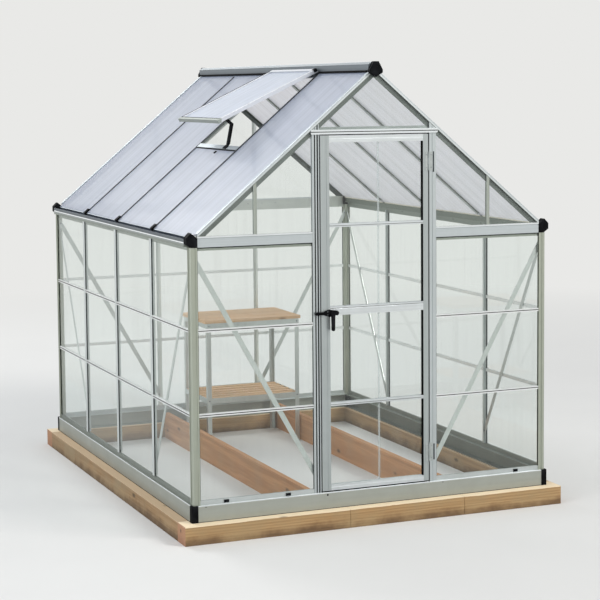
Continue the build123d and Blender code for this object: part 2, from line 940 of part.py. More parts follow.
def vent_sill():
    """Cross bar at the foot of the vent bay: it carries the lower sheet and has a low curb."""
    low, high = vent_span()
    inner = roof_bar_width / 2 + clearance
    start = vent_sill_distance - vent_sill_width
    body = block((low + inner, under_panel - vent_sill_depth, start),
                 (high - inner, under_panel, vent_sill_distance + vent_sill_lap))
    side = roof_cap_width / 2 + clearance
    curb = block((low + side, under_panel, start), (high - side, vent_curb_rise, vent_sill_distance))
    return [LEFT_SLOPE.location * (body + curb)]


def sash_length():
    return vent_sill_distance - vent_hinge_distance + vent_overlap


def sash_place():
    """The open sash's own frame, hinged under the ridge hood and swung up."""
    hinge = Pos(0, vent_hinge_rise, vent_hinge_distance)
    return LEFT_SLOPE.location * hinge * Rot(-vent_angle, 0, 0)


def vent_frame():
    low, high = vent_span()
    length = sash_length()
    width = vent_frame_width
    rim = block((low, 0, 0), (high, vent_frame_height, length))
    hole = block((low + width, -past, width), (high - width, vent_frame_height + past, length - width))
    middle = vent_frame_height / 2
    half_groove = panel_thickness / 2 + clearance
    edge = vent_frame_width - vent_groove
    groove = block((low + edge, middle - half_groove, edge),
                   (high - edge, middle + half_groove, length - edge))
    return [sash_place() * (rim - hole - groove)]


def vent_panel():
    low, high = vent_span()
    middle = vent_frame_height / 2
    inset = vent_frame_width - vent_groove + clearance
    sheet = block((low + inset, middle - panel_thickness / 2, inset),
                  (high - inset, middle + panel_thickness / 2, sash_length() - inset))
    return [sash_place() * sheet]


def vent_stay():
    """Bent arm from the sill's curb to the underside of the open sash."""
    place = vent_span()[1] - vent_stay_place
    side = vent_stay_width / 2
    foot = vent_sill_distance - vent_sill_width / 2
    swing = radians(vent_angle)
    middle = vent_frame_height / 2
    tip = (vent_hinge_rise + middle * cos(swing) + vent_stay_tip * sin(swing),
           vent_hinge_distance - middle * sin(swing) + vent_stay_tip * cos(swing))
    plane = Plane(origin=(place - side, 0, 0), x_dir=(0, 1, 0), z_dir=(1, 0, 0))
    line = Polyline((vent_curb_rise - vent_stay_thickness, foot), vent_stay_elbow, tip)
    arm = extrude(plane * trace(line, vent_stay_thickness), amount=vent_stay_width)
    pad = block((place - vent_stay_width, vent_curb_rise, foot - side),
                (place + vent_stay_width, vent_curb_rise + vent_stay_pad, foot + side))
    under_sheet = middle - panel_thickness / 2 - clearance
    under_curb = block((place - beyond, -beyond, 0), (place + beyond, vent_curb_rise, house_width))
    over_sash = block((place - beyond, under_sheet, -beyond), (place + beyond, beyond, house_width))
    arm = LEFT_SLOPE.location * (arm - under_curb + pad)
    return [arm - sash_place() * over_sash]


# Door
def door_member(low_x, low_z, high_x, high_z):
    return block((low_x, 0, low_z), (high_x, door_depth, high_z))


def door_levels():
    """Bottom and top of each rail of the door, from the lowest up."""
    base = plinth_height
    half_thin = door_thin_rail / 2
    thin = [(base + h - half_thin, base + h + half_thin) for h in door_thin_rail_heights]
    middle = (base + door_mid_rail_height, base + door_mid_rail_height + door_mid_rail)
    return [(door_bottom, door_bottom + door_bottom_rail), thin[0], middle, thin[1],
            (door_top - door_top_rail, door_top)]


def rail_groove():
    """How far a light reaches into the rails, which the thin ones limit."""
    return min(door_groove, door_thin_rail / 2 - door_rail_web / 2)


def door_inner_edges():
    """Edges of the lights: the hinge stile is narrower than the latch stile."""
    return latch_stile_width - door_half, door_half - hinge_stile_width


def door_groove_seat():
    return door_depth / 2 - glass_thickness / 2 - clearance


def door_frame():
    """Stiles and rails with a glass groove round every light and a rib line down the latch stile."""
    left, right = door_inner_edges()
    solid = door_member(-door_half, door_bottom, door_half, door_top)
    levels = door_levels()
    seat = door_groove_seat()
    for (_, low), (high, _) in zip(levels, levels[1:]):
        light = block((left, -past, low), (right, door_depth + past, high))
        groove = block((left - door_groove, seat, low - rail_groove()),
                       (right + door_groove, door_depth - seat, high + rail_groove()))
        solid = solid - light - groove
    rib_end = left - door_rib_place
    rib_start = rib_end - door_rib_width
    rib = block((rib_start, -past, door_bottom - past), (rib_end, door_rib_depth, door_top + past))
    return on(FRONT, [solid - rib])


def door_glass():
    left, right = door_inner_edges()
    seat = door_groove_seat() + clearance
    side = door_groove - clearance
    reach = rail_groove() - clearance
    levels = door_levels()
    lights = []
    for (_, low), (high, _) in zip(levels, levels[1:]):
        lights.append(block((left - side, seat, low - reach),
                            (right + side, seat + glass_thickness, high + reach)))
    return on(FRONT, lights)


def hinge_axis():
    """Pin line of the door: in the gap beside the right jamb, proud of the face."""
    return jamb_inner - door_gap / 2, -half_length - hinge_knuckle_radius - hinge_leaf_thickness / 2


def hinge_plates(side, tab_numbers):
    """One leaf a hinge, with tabs that carry its knuckles: side is 1 on the jamb."""
    x = hinge_axis()[0]
    third = hinge_length / 3
    face = -half_length
    near = x + side * hinge_leaf_gap
    far = near + side * hinge_leaf_width
    solids = []
    for height in hinge_heights:
        low = plinth_height + height
        leaf = block((min(near, far), face - hinge_leaf_thickness, low),
                     (max(near, far), face, low + hinge_length))
        for number in tab_numbers:
            bottom = low + number * third + clearance
            leaf += block((min(x, near), face - hinge_leaf_thickness, bottom),
                          (max(x, near), face, bottom + third - 2 * clearance))
        solids.append(leaf)
    return solids


def hinge_half(side, tab_numbers):
    """Leaves and knuckles of one side of both hinges, a solid for each hinge."""
    x, y = hinge_axis()
    third = hinge_length / 3
    solids = []
    for height, leaf in zip(hinge_heights, hinge_plates(side, tab_numbers)):
        for number in tab_numbers:
            knuckle = Cylinder(hinge_knuckle_radius, third - 2 * clearance,
                               align=(Align.CENTER, Align.CENTER, Align.MIN))
            leaf += Pos(x, y, plinth_height + height + number * third + clearance) * knuckle
        solids.append(leaf)
    return solids


def latch_left():
    return -door_half + latch_inset


def door_latch():
    """Moulded latch body with a round end, and the tongue that reaches over the jamb."""
    middle = plinth_height + latch_height
    half = latch_plate_height / 2
    neck = latch_plate_neck / 2
    left = latch_left()
    right = left + latch_plate_width
    face = -latch_plate_thickness
    wide = left + latch_plate_taper
    points = [(left, middle - neck), (wide, middle - half), (right, middle - neck)]
    points += [(right, middle + neck), (wide, middle + half), (left, middle + neck)]
    body = plate(points, face, latch_plate_thickness)
    body = fillet(body.edges().filter_by(Axis.Y), latch_plate_round)
    end = Cylinder(latch_end_radius, latch_plate_thickness)
    body += Pos(right, face / 2, middle) * Rot(90, 0, 0) * end
    half_tongue = latch_tongue_height / 2
    tongue = block((left - latch_tongue_length, face, middle - half_tongue),
                   (left + latch_tongue_lap, face + latch_tongue_thickness, middle + half_tongue))
    tongue = fillet(tongue.edges().filter_by(Axis.Y).sort_by(Axis.X)[0:2], latch_tongue_round)
    return on(FRONT, [body + tongue])


def lever_axis():
    return latch_left() + lever_place, plinth_height + latch_height


def door_lever():
    """Hanging lever on its spindle, tapered and rounded at the tip."""
    x, z = lever_axis()
    near = -latch_plate_thickness - spindle_length
    half = lever_width / 2
    tip = lever_tip_width / 2
    low = z - lever_length + tip
    sides = [(x - half, z), (x - tip, low), (x + tip, low), (x + half, z)]
    arm = plate(sides, near - lever_thickness, lever_thickness)
    boss = Pos(x, near - lever_thickness / 2, z) * Rot(90, 0, 0)
    end = Pos(x, near - lever_thickness / 2, low) * Rot(90, 0, 0)
    spindle = Pos(x, near + (spindle_length - clearance) / 2, z) * Rot(90, 0, 0)
    lever = arm + boss * Cylinder(lever_boss_radius, lever_thickness) + end * Cylinder(tip, lever_thickness)
    return on(FRONT, [lever + spindle * Cylinder(spindle_radius, spindle_length - clearance)])


# Staging bench and bed boards
def bench_box():
    back = half_length + plinth_overhang - timber_width - clearance
    left = bench_centre - bench_width / 2
    return left, back - bench_depth, left + bench_width, back


def bench_ring(height):
    """Flat rails round the bench, with their top at this height."""
    left, front, right, back = bench_box()
    wall = bench_leg_wall
    low = height - bench_rail_height
    ring = block((left, front, low), (right, back, height))
    return ring - block((left + wall, front + wall, low - past), (right - wall, back - wall, height + past))


def bench_angle(x, y, turn_x, turn_y):
    """One leg, an angle with its corner at x, y."""
    top = bench_height - bench_board_thickness
    wide, thin = bench_leg, bench_leg_wall
    points = [(0, 0), (wide, 0), (wide, thin), (thin, thin), (thin, wide), (0, wide)]
    return upright([(x + turn_x * a, y + turn_y * b) for a, b in points], 0, top)


def bench_frame():
    """Four angle legs with a ring of rails at the top, and a lower one with ledges for the shelf."""
    left, front, right, back = bench_box()
    top = bench_height - bench_board_thickness
    shape = bench_ring(top) + bench_ring(bench_shelf_height)
    for x, turn_x in ((left, 1), (right, -1)):
        for y, turn_y in ((front, 1), (back, -1)):
            shape = shape + bench_angle(x, y, turn_x, turn_y)
    ledge_top = bench_shelf_height - bench_slat_thickness - clearance
    ledge = block((left, front, ledge_top - bench_leg_wall), (left + bench_ledge, back, ledge_top))
    across_bench = Plane(origin=(bench_centre, 0, 0), x_dir=(0, 1, 0), z_dir=(1, 0, 0))
    return [shape + ledge + mirror(ledge, across_bench)]


def bench_shelf():
    """Slats that lie on the ledges between the front and back rails."""
    left, front, right, back = bench_box()
    inset = bench_leg_wall + clearance
    pitch = bench_depth / bench_slats
    bottom = bench_shelf_height - bench_slat_thickness
    slats = []
    for number in range(bench_slats):
        start = front + pitch * number + (pitch - bench_slat_width) / 2
        slats.append(block((left + inset, start, bottom),
                           (right - inset, start + bench_slat_width, bench_shelf_height)))
    return slats


def bench_top():
    left, front, right, back = bench_box()
    pitch = (back - front + bench_board_gap) / bench_boards
    boards = []
    for number in range(bench_boards):
        start = front + pitch * number
        low = (left - bench_board_overhang, start, bench_height - bench_board_thickness)
        high = (right + bench_board_overhang, start + pitch - bench_board_gap, bench_height)
        boards.append(block(low, high))
    return boards


def bed_boards():
    end = half_length + plinth_overhang - timber_width
    half = bed_board_thickness / 2
    height = bed_board_height
    return [block((place - half, -end, 0), (place + half, end, height)) for place in bed_board_places]


def build():
    nodes = {
        "plinth_front": plinth_front(),
        "plinth_back": plinth_back(),
        "plinth_sides": plinth_sides(),
        "base_front": base_front(),
        "base_back": on(BACK, [base_plain(half_width)]),
        "base_sides": both_sides(on(RIGHT, [base_plain(half_length)])[0]),
        "base_corner_caps": four_corners(base_cap()),
        "corner_posts": four_corners(corner_post()),
        "side_wall_bars": on(LEFT, side_wall_bars()) + on(RIGHT, side_wall_bars()),
        "back_wall_bars": back_wall_bars(),
        "front_gable_bars": front_gable_bars(),
        "door_jambs": door_jambs(),
        "door_head": door_head(),
        "front_eave_beams": front_eave_beams(),
        "back_eave_beam": back_eave_beam(),
        "gutters": both_sides(on(RIGHT, [gutter()])[0]),
        "eave_corner_caps": four_corners(eave_cap()),
        "front_rafters": both_sides(front_rafter()),
        "back_rafters": [mirror(each, Plane.XZ) for each in both_sides(front_rafter())],
        "ridge_beam": ridge_beam(),
        "ridge_end_caps": [ridge_cap(), mirror(ridge_cap(), Plane.XZ)],
        "left_roof_bars": on(LEFT_SLOPE, roof_bars()),
        "right_roof_bars": on(RIGHT_SLOPE, roof_bars()),
        "roof_bar_clips": on(LEFT_SLOPE, roof_clips()) + on(RIGHT_SLOPE, roof_clips()),
        "left_roof_panels": clear_of_eave_caps(on(LEFT_SLOPE, roof_panels(2))),
        "right_roof_panels": clear_of_eave_caps(on(RIGHT_SLOPE, roof_panels(-1))),
        "front_wall_glass": front_wall_glass(),
        "back_wall_glass": back_wall_glass(),
        "left_wall_glass": on(LEFT, side_wall_glass()),
        "right_wall_glass": on(RIGHT, side_wall_glass()),
        "pane_rails": pane_rails(),
        "wall_braces": wall_braces(),
        "vent_sill": vent_sill(),
        "vent_frame": vent_frame(),
        "vent_panel": vent_panel(),
        "vent_stay": vent_stay(),
        "door_frame": door_frame(),
        "door_glass": door_glass(),
        "door_hinges": hinge_half(-1, (1,)),
        "jamb_hinges": hinge_half(1, (0, 2)),
        "door_latch": door_latch(),
        "door_lever": door_lever(),
        "bench_frame": bench_frame(),
        "bench_shelf": bench_shelf(),
        "bench_top": bench_top(),
        "bed_boards": bed_boards(),
    }
    return nodes


os.makedirs("parts", exist_ok=True)
for name, solids in build().items():
    whole = Compound(children=list(solids)) if len(solids) > 1 else solids[0]
    export_step(whole, f"parts/{name}.step")
    print(name, len(solids))
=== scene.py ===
import math

import bmesh
import bpy
from mathutils import Matrix, Vector


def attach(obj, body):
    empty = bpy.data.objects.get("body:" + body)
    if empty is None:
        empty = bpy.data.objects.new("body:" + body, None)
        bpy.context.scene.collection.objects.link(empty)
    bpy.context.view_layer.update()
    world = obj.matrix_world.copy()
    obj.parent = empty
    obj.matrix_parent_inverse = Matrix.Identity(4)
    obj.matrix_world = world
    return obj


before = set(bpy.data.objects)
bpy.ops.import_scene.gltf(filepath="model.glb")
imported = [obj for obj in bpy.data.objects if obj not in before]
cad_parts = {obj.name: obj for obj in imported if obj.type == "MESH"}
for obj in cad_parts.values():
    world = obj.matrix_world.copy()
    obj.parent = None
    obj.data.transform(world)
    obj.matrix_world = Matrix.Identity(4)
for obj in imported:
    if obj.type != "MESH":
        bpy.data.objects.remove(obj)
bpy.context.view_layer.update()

# Sizes of the house that the pieces here are set to, in metres
HALF_WIDTH = 0.925
HALF_LENGTH = 1.215
PLINTH = 0.090
SKIRT_TOP = 0.168
CHANNEL_TOP = 0.190
BEAM_BOTTOM = 1.358
EAVE = 1.386
RIDGE = 2.170
SLOPE = math.atan2(RIDGE - EAVE, HALF_WIDTH)
SHEET_INSET = 0.018
SHEET_END = (HALF_WIDTH - SHEET_INSET) / math.cos(SLOPE)
POST = 0.036
SIDE_BARS = (-0.6075, 0.0, 0.6075)
BACK_BARS = (-0.3083, 0.3083)
BAR_CAP = 0.026
RAIL_HEIGHTS = (PLINTH + 0.495, PLINTH + 0.885)
RAIL_HALF = 0.0084
GLASS_BACK = 0.0075
BEHIND_GLASS = HALF_LENGTH - GLASS_BACK
JAMB_OUTER = 0.322
DOOR_BOTTOM = 0.174
DOOR_TOP = 1.855
DOOR_MIDDLE = 0.009
STILE_FROM_MIDDLE = 0.2435
LIGHT = (-0.235, 0.253)
DOOR_LIGHTS = ((0.202, 0.579), (0.595, 1.010), (1.052, 1.426), (1.442, 1.823))
SASH_HINGE = (0, 0.010, 0.033)
SASH_ANGLE = math.radians(15)

# The two sides of a wall, and directions in its frame
SIDES = (-1, 1)
UP = (0, 0, 1)
OUTWARDS = (0, -1, 0)
INWARDS = (0, 1, 0)


# Frames of the walls and slopes: x along, y inwards or off the roof, z up or down the slope
def frame_at(origin, x_axis, z_axis):
    x, z = Vector(x_axis), Vector(z_axis)
    return Matrix.Translation(origin) @ Matrix((x, z.cross(x), z)).transposed().to_4x4()


DOWN_X, DOWN_Z = math.cos(SLOPE), -math.sin(SLOPE)
FRONT = frame_at((0, -HALF_LENGTH, 0), (1, 0, 0), UP)
BACK = frame_at((0, HALF_LENGTH, 0), (-1, 0, 0), UP)
LEFT = frame_at((-HALF_WIDTH, 0, 0), (0, -1, 0), UP)
RIGHT = frame_at((HALF_WIDTH, 0, 0), (0, 1, 0), UP)
LEFT_SLOPE = frame_at((0, 0, RIDGE), (0, -1, 0), (-DOWN_X, 0, DOWN_Z))
RIGHT_SLOPE = frame_at((0, 0, RIDGE), (0, 1, 0), (DOWN_X, 0, DOWN_Z))
SASH = LEFT_SLOPE @ Matrix.Translation(SASH_HINGE) @ Matrix.Rotation(-SASH_ANGLE, 4, "X")
HOUSE = Matrix.Identity(4)


# Nodes of a material
def linear(hex_colour):
    """An sRGB hex colour as linear red, green, blue and alpha."""
    parts = [int(hex_colour[i:i + 2], 16) / 255 for i in (1, 3, 5)]
    return (*(((c + 0.055) / 1.055) ** 2.4 if c > 0.04045 else c / 12.92 for c in parts), 1.0)


def add_node(tree, kind, settings=None, inputs=None):
    """Adds a node with its settings, and sets or links its inputs by name or number."""
    node = tree.nodes.new("ShaderNode" + kind)
    for name, value in (settings or {}).items():
        setattr(node, name, value)
    for name, value in (inputs or {}).items():
        if isinstance(value, bpy.types.NodeSocket):
            tree.links.new(value, node.inputs[name])
        else:
            node.inputs[name].default_value = value
    return node


def new_material(name):
    """An empty material, its node tree and the Object coordinates in it."""
    made = bpy.data.materials.new(name)
    made.use_nodes = True
    tree = made.node_tree
    tree.nodes.clear()
    return made, tree, add_node(tree, "TexCoord").outputs["Object"]


def finish_material(tree, shader):
    add_node(tree, "OutputMaterial", None, {"Surface": shader})


def surface(tree, kind, inputs):
    """A shader of the kind named, such as Principled or Glossy."""
    return add_node(tree, "Bsdf" + kind, None, inputs).outputs[0]


def see_through_tint(tree, red, green, blue):
    return surface(tree, "Transparent", {"Color": (red, green, blue, 1)})


def span(tree, value, low, high, from_low=0.3, from_high=0.7):
    """A number that goes from low to high as value crosses its middle range."""
    return add_node(tree, "MapRange", None, {"Value": value, "From Min": from_low, "From Max": from_high,
                                             "To Min": low, "To Max": high}).outputs["Result"]


def reckon(tree, operation, first, second=0.0):
    return add_node(tree, "Math", {"operation": operation}, {0: first, 1: second}).outputs[0]


def zones(tree, value, stops):
    """A colour for each zone of a distance: stops are (where a zone starts in metres, hex colour)."""
    low, high = stops[0][0], stops[-1][0]
    node = add_node(tree, "ValToRGB", None, {"Fac": span(tree, value, 0.0, 1.0, low, high)})
    node.color_ramp.interpolation = "CONSTANT"
    elements = node.color_ramp.elements
    elements[0].color = linear(stops[0][1])
    elements[1].color = linear(stops[-1][1])
    for start, colour in stops[1:-1]:
        elements.new((start - low) / (high - low)).color = linear(colour)
    return node.outputs["Color"]


def blend_colours(tree, factor, first, second):
    first, second = (linear(c) if isinstance(c, str) else c for c in (first, second))
    return add_node(tree, "Mix", {"data_type": "RGBA"}, {0: factor, 6: first, 7: second}).outputs[2]


def noise(tree, place, size, detail=4.0, rough=0.5):
    """Cloudy noise whose marks are about size metres across."""
    return add_node(tree, "TexNoise", None, {"Vector": place, "Scale": 1 / size, "Detail": detail,
                                             "Roughness": rough}).outputs["Fac"]


# How far apart the waves of a wave texture lie at scale 1
WAVE_PITCH = math.pi / 10


def wave_scale(pitch):
    """The scale at which a wave texture repeats every pitch metres."""
    return WAVE_PITCH / pitch


def bump(tree, height, depth, strength):
    return add_node(tree, "Bump", None, {"Height": height, "Distance": depth,
                                         "Strength": strength}).outputs["Normal"]


def mix_shaders(tree, factor, first, second):
    return add_node(tree, "MixShader", None, {0: factor, 1: first, 2: second}).outputs[0]


def one_layer(tree, shader, through):
    """The finish on the side where light enters, and only its tint where light leaves the pane again."""
    leaving = add_node(tree, "NewGeometry").outputs["Backfacing"]
    return mix_shaders(tree, leaving, shader, through)


def folded(tree, place):
    """The same pattern on both sides of the house."""
    return add_node(tree, "VectorMath", {"operation": "ABSOLUTE"}, {0: place}).outputs["Vector"]


def part_of(tree, place, axis):
    return add_node(tree, "SeparateXYZ", None, {"Vector": place}).outputs[axis]


def off_slope(tree, place):
    """How far a point lies above the roof's top face."""
    off_roof = (math.sin(SLOPE), 0.0, math.cos(SLOPE))
    reach = add_node(tree, "VectorMath", {"operation": "DOT_PRODUCT"},
                     {0: folded(tree, place), 1: off_roof}).outputs["Value"]
    return reckon(tree, "SUBTRACT", reach, RIDGE * math.cos(SLOPE))


def stretched(tree, place, size, turn=(0, 0, 0), origin=(0, 0, 0)):
    """Coordinates in which marks of one unit are size metres along x, y and z."""
    return add_node(tree, "Mapping", {"vector_type": "TEXTURE"},
                    {"Vector": place, "Location": origin, "Rotation": turn, "Scale": size}).outputs["Vector"]


def marks_along(tree, place, size, turn=(0, 0, 0)):
    """Noise stretched along a member: size is the marks' size along x, y and z in metres."""
    return noise(tree, stretched(tree, place, size, turn), 1.0, detail=2.0)


def marks_down_slope(tree, place, size):
    """Noise stretched down both slopes of the roof."""
    return marks_along(tree, folded(tree, place), size, (0, SLOPE, 0))


# Die lines are about 0.3 mm apart on the real bars, drawn 5 mm wide so that they show
DIE_LINE = 0.005
RUN = 0.6
UPRIGHT = (DIE_LINE, DIE_LINE, RUN)
LEVEL = (RUN, RUN, DIE_LINE)
DOWN_SLOPE = (RUN, DIE_LINE, DIE_LINE)
# Members without die lines: broad soft marks, worn bands along the skirt, short marks on the strips
BROAD = (RUN, RUN, RUN)
BANDED = (RUN, RUN, 0.03)
SHORT = (0.012, 0.012, 0.09)


def satin_metal(tree, place, tone, dark, lines, rough, line_share=0.3):
    """Satin metal: its tone, darker lines along it, soft clouds of wear over both."""
    cloud = noise(tree, place, 0.16, rough=0.6)
    lined = blend_colours(tree, span(tree, lines, 0.0, line_share), tone, dark)
    colour = blend_colours(tree, span(tree, cloud, 0.0, 0.35), lined, dark)
    wear = reckon(tree, "ADD", span(tree, lines, -0.03, 0.03), span(tree, cloud, rough - 0.04, rough + 0.07))
    metal = surface(tree, "Principled", {"Base Color": colour, "Metallic": 0.86, "Roughness": wear,
                                         "Normal": bump(tree, lines, depth=0.0002, strength=0.25)})
    finish_material(tree, metal)


# Mill aluminium, extruded: satin, faintly bluish grey, with lines down each bar and soft cloudy marks. Its
# tone is one colour or zones, which on the beams, skirts, side bars and gutters are bands of painted
# highlight and painted shade. Where a member reaches inside the house, its lip has a colour of its own:
# painted shade, and on the back beam painted light
def extruded(name, tone, dark, rough, size, painted_room_side=None, line_share=0.3, across="Z"):
    made, tree, place = new_material(name)
    if not isinstance(tone, str):
        tone = zones(tree, part_of(tree, folded(tree, place), across), tone)
    if painted_room_side:
        axis, limit, lip = painted_room_side
        inside = reckon(tree, "LESS_THAN", part_of(tree, folded(tree, place), axis), limit)
        tone = blend_colours(tree, inside, tone, lip)
    satin_metal(tree, place, tone, dark, marks_along(tree, place, size), rough, line_share)
    return made


# Door extrusions: lines run up the stiles and along the paler rails
def door_metal():
    made, tree, place = new_material("mill_aluminium_door")
    off_middle = reckon(tree, "SUBTRACT", part_of(tree, place, "X"), DOOR_MIDDLE)
    stile = reckon(tree, "GREATER_THAN", reckon(tree, "ABSOLUTE", off_middle), STILE_FROM_MIDDLE)
    lines = add_node(tree, "Mix", None, {0: stile, 2: marks_along(tree, place, LEVEL),
                                         3: marks_along(tree, place, UPRIGHT)}).outputs[0]
    tone = blend_colours(tree, stile, "#E1E6E8", "#B4BBBB")
    satin_metal(tree, place, tone, "#969D9D", lines, 0.38)
    return made


# Rafters: pale cover and face with a seam line between; painted shade dulls them along the foot and is
# darkest behind the glass
RAFTER_ZONES = ((-0.04, "#6B716D"), (-0.0098, "#D3D9DB"), (-0.0016, "#8A9195"), (-0.0004, "#CDD3D6"),
                (0.0026, "#99A1A8"))


def rafter_metal():
    made, tree, place = new_material("mill_aluminium_rafter")
    tone = zones(tree, off_slope(tree, place), RAFTER_ZONES)
    inside = reckon(tree, "LESS_THAN", part_of(tree, folded(tree, place), "Y"), BEHIND_GLASS)
    below = reckon(tree, "LESS_THAN", off_slope(tree, place), 0.0)
    tone = blend_colours(tree, reckon(tree, "MULTIPLY", inside, below), tone, "#585E5A")
    satin_metal(tree, place, tone, "#8A9190", marks_down_slope(tree, place, DOWN_SLOPE), 0.46, 0.2)
    return made


# Ridge hood: bluish, in bands of painted light and shade up its height, darkest under the roof and palest, a
# painted highlight, at its top
RIDGE_ZONES = ((2.120, "#555C64"), (2.1635, "#666E75"), (2.1700, "#737B82"), (2.1835, "#5F676E"),
               (2.1862, "#A2A9AE"), (2.1968, "#DEE3E5"))


def ridge_metal():
    made, tree, place = new_material("mill_aluminium_ridge")
    tone = zones(tree, part_of(tree, place, "Z"), RIDGE_ZONES)
    satin_metal(tree, place, tone, "#858C91", marks_along(tree, place, LEVEL), 0.44)
    return made


# Roof bars: dark capping above the sheets, a little dusty, its darkness partly their black gaskets and
# partly painted shade; dull metal below, with a dark flange of painted shade and a bright stem of painted
# light
CAPPING_ZONES = ((-0.03, "#DDE2DE"), (-0.0108, "#444945"), (-0.0098, "#A9AFA8"), (-0.0004, "#2A2E34"))


def capped_bar():
    made, tree, place = new_material("dark_capping_and_painted_shade")
    lines = marks_down_slope(tree, place, DOWN_SLOPE)
    dust = noise(tree, place, 0.09, rough=0.65)
    tone = zones(tree, off_slope(tree, place), CAPPING_ZONES)
    dusty = blend_colours(tree, span(tree, dust, 0.0, 0.22), tone, "#7D8288")
    colour = blend_colours(tree, span(tree, lines, 0.0, 0.3), dusty, "#24272B")
    metal = surface(tree, "Principled", {"Base Color": colour, "Metallic": 0.6,
                                         "Roughness": span(tree, dust, 0.42, 0.56),
                                         "Normal": bump(tree, lines, depth=0.0002, strength=0.3)})
    finish_material(tree, metal)
    return made


# Horticultural float glass: clear, faintly green, with thin dust and a few run marks
RUN_MARK = (0.02, 0.02, 0.5)


def float_glass():
    made, tree, place = new_material("horticultural_glass")
    haze = noise(tree, place, 0.35, rough=0.6)
    runs = span(tree, marks_along(tree, place, RUN_MARK), 0.015, 0.06, from_low=0.45, from_high=0.75)
    dust = reckon(tree, "MULTIPLY", span(tree, haze, 0.3, 1.0), runs)
    through = see_through_tint(tree, 0.972, 0.984, 0.978)
    mirror = surface(tree, "Glossy", {"Color": (0.9, 0.94, 0.93, 1), "Roughness": 0.03})
    film = surface(tree, "Diffuse", {"Color": linear("#D9DCD6")})
    edge_on = add_node(tree, "LayerWeight", None, {"Blend": 0.5}).outputs["Facing"]
    gloss = span(tree, reckon(tree, "POWER", edge_on, 5.0), 0.06, 0.9, from_low=0.0, from_high=1.0)
    dusty = mix_shaders(tree, dust, mix_shaders(tree, gloss, through, mirror), film)
    finish_material(tree, one_layer(tree, dusty, through))
    return made


# Twin-wall polycarbonate, extruded: milky and bluish in the light, warm where light comes through it,
# with streaks and fine ribs down the slope. Real ribs stand 6 mm apart, drawn 15 mm apart so that they show
RIB_PITCH = 0.015
STREAK = (1.4, 0.035, 0.035)


def twin_wall(name, light, shade, warm, glowing, see_through):
    made, tree, place = new_material(name)
    ribs = add_node(tree, "TexWave", {"wave_type": "BANDS", "bands_direction": "Y"},
                    {"Vector": place, "Scale": wave_scale(RIB_PITCH), "Distortion": 0.0}).outputs["Fac"]
    streaks = span(tree, marks_down_slope(tree, place, STREAK), 0.0, 0.30)
    rib_lines = span(tree, ribs, 0.0, 0.16, from_low=0.55, from_high=1.0)
    marks = reckon(tree, "ADD", streaks, rib_lines)
    faint = reckon(tree, "MULTIPLY", marks, 0.4)
    cloud = noise(tree, place, 0.4, rough=0.55)
    tone = blend_colours(tree, span(tree, cloud, 0.0, 0.6), light, shade)
    skin = surface(tree, "Principled", {"Base Color": blend_colours(tree, faint, tone, "#A6ADBB"),
                                        "Roughness": 0.26, "IOR": 1.58,
                                        "Normal": bump(tree, ribs, depth=0.0006, strength=0.2)})
    glow = surface(tree, "Translucent", {"Color": blend_colours(tree, marks, warm, "#8F8B88")})
    through = see_through_tint(tree, 0.95, 0.95, 0.95)
    sheet = mix_shaders(tree, see_through, mix_shaders(tree, glowing, skin, glow), through)
    finish_material(tree, one_layer(tree, sheet, through))
    return made


# Moulded nylon and rubber, strips, tape, and the troughs' grime and painted shade: satin, with a fine grain
# of 1 mm, drawn 3 mm wide
def moulded(name, colour, worn, rough):
    made, tree, place = new_material(name)
    grain = noise(tree, place, 0.003, detail=2.0)
    patch = noise(tree, place, 0.04, detail=3.0)
    shade = blend_colours(tree, span(tree, patch, 0.0, 1.0, from_low=0.4, from_high=0.75), colour, worn)
    satin = surface(tree, "Principled", {"Base Color": shade, "Specular IOR Level": 0.05,
                                         "Roughness": span(tree, patch, rough - 0.06, rough + 0.12),
                                         "Normal": bump(tree, grain, depth=0.0003, strength=0.5)})
    finish_material(tree, satin)
    return made


# Steel fittings and screws: a cloudy gloss over the plating or coat
def plated_steel(name, light, dark, rough):
    made, tree, place = new_material(name)
    cloud = noise(tree, place, 0.03, detail=3.0)
    colour = blend_colours(tree, span(tree, cloud, 0.0, 1.0), light, dark)
    metal = surface(tree, "Principled", {"Base Color": colour, "Metallic": 0.8,
                                         "Roughness": span(tree, cloud, rough, rough + 0.12)})
    finish_material(tree, metal)
    return made


# Softwood: growth rings round a pith line that runs along the timber, fibres, knots and greyed patches. A
# plinth timber has a paler top, partly wear and partly painted light, is darker towards its foot, and has
# redder end grain. Rings of 4 mm are drawn 14 mm wide
RING_PITCH = 0.014
PALE_TOP_DEPTH = 0.003
DARKER_FOOT_HEIGHT = 0.045


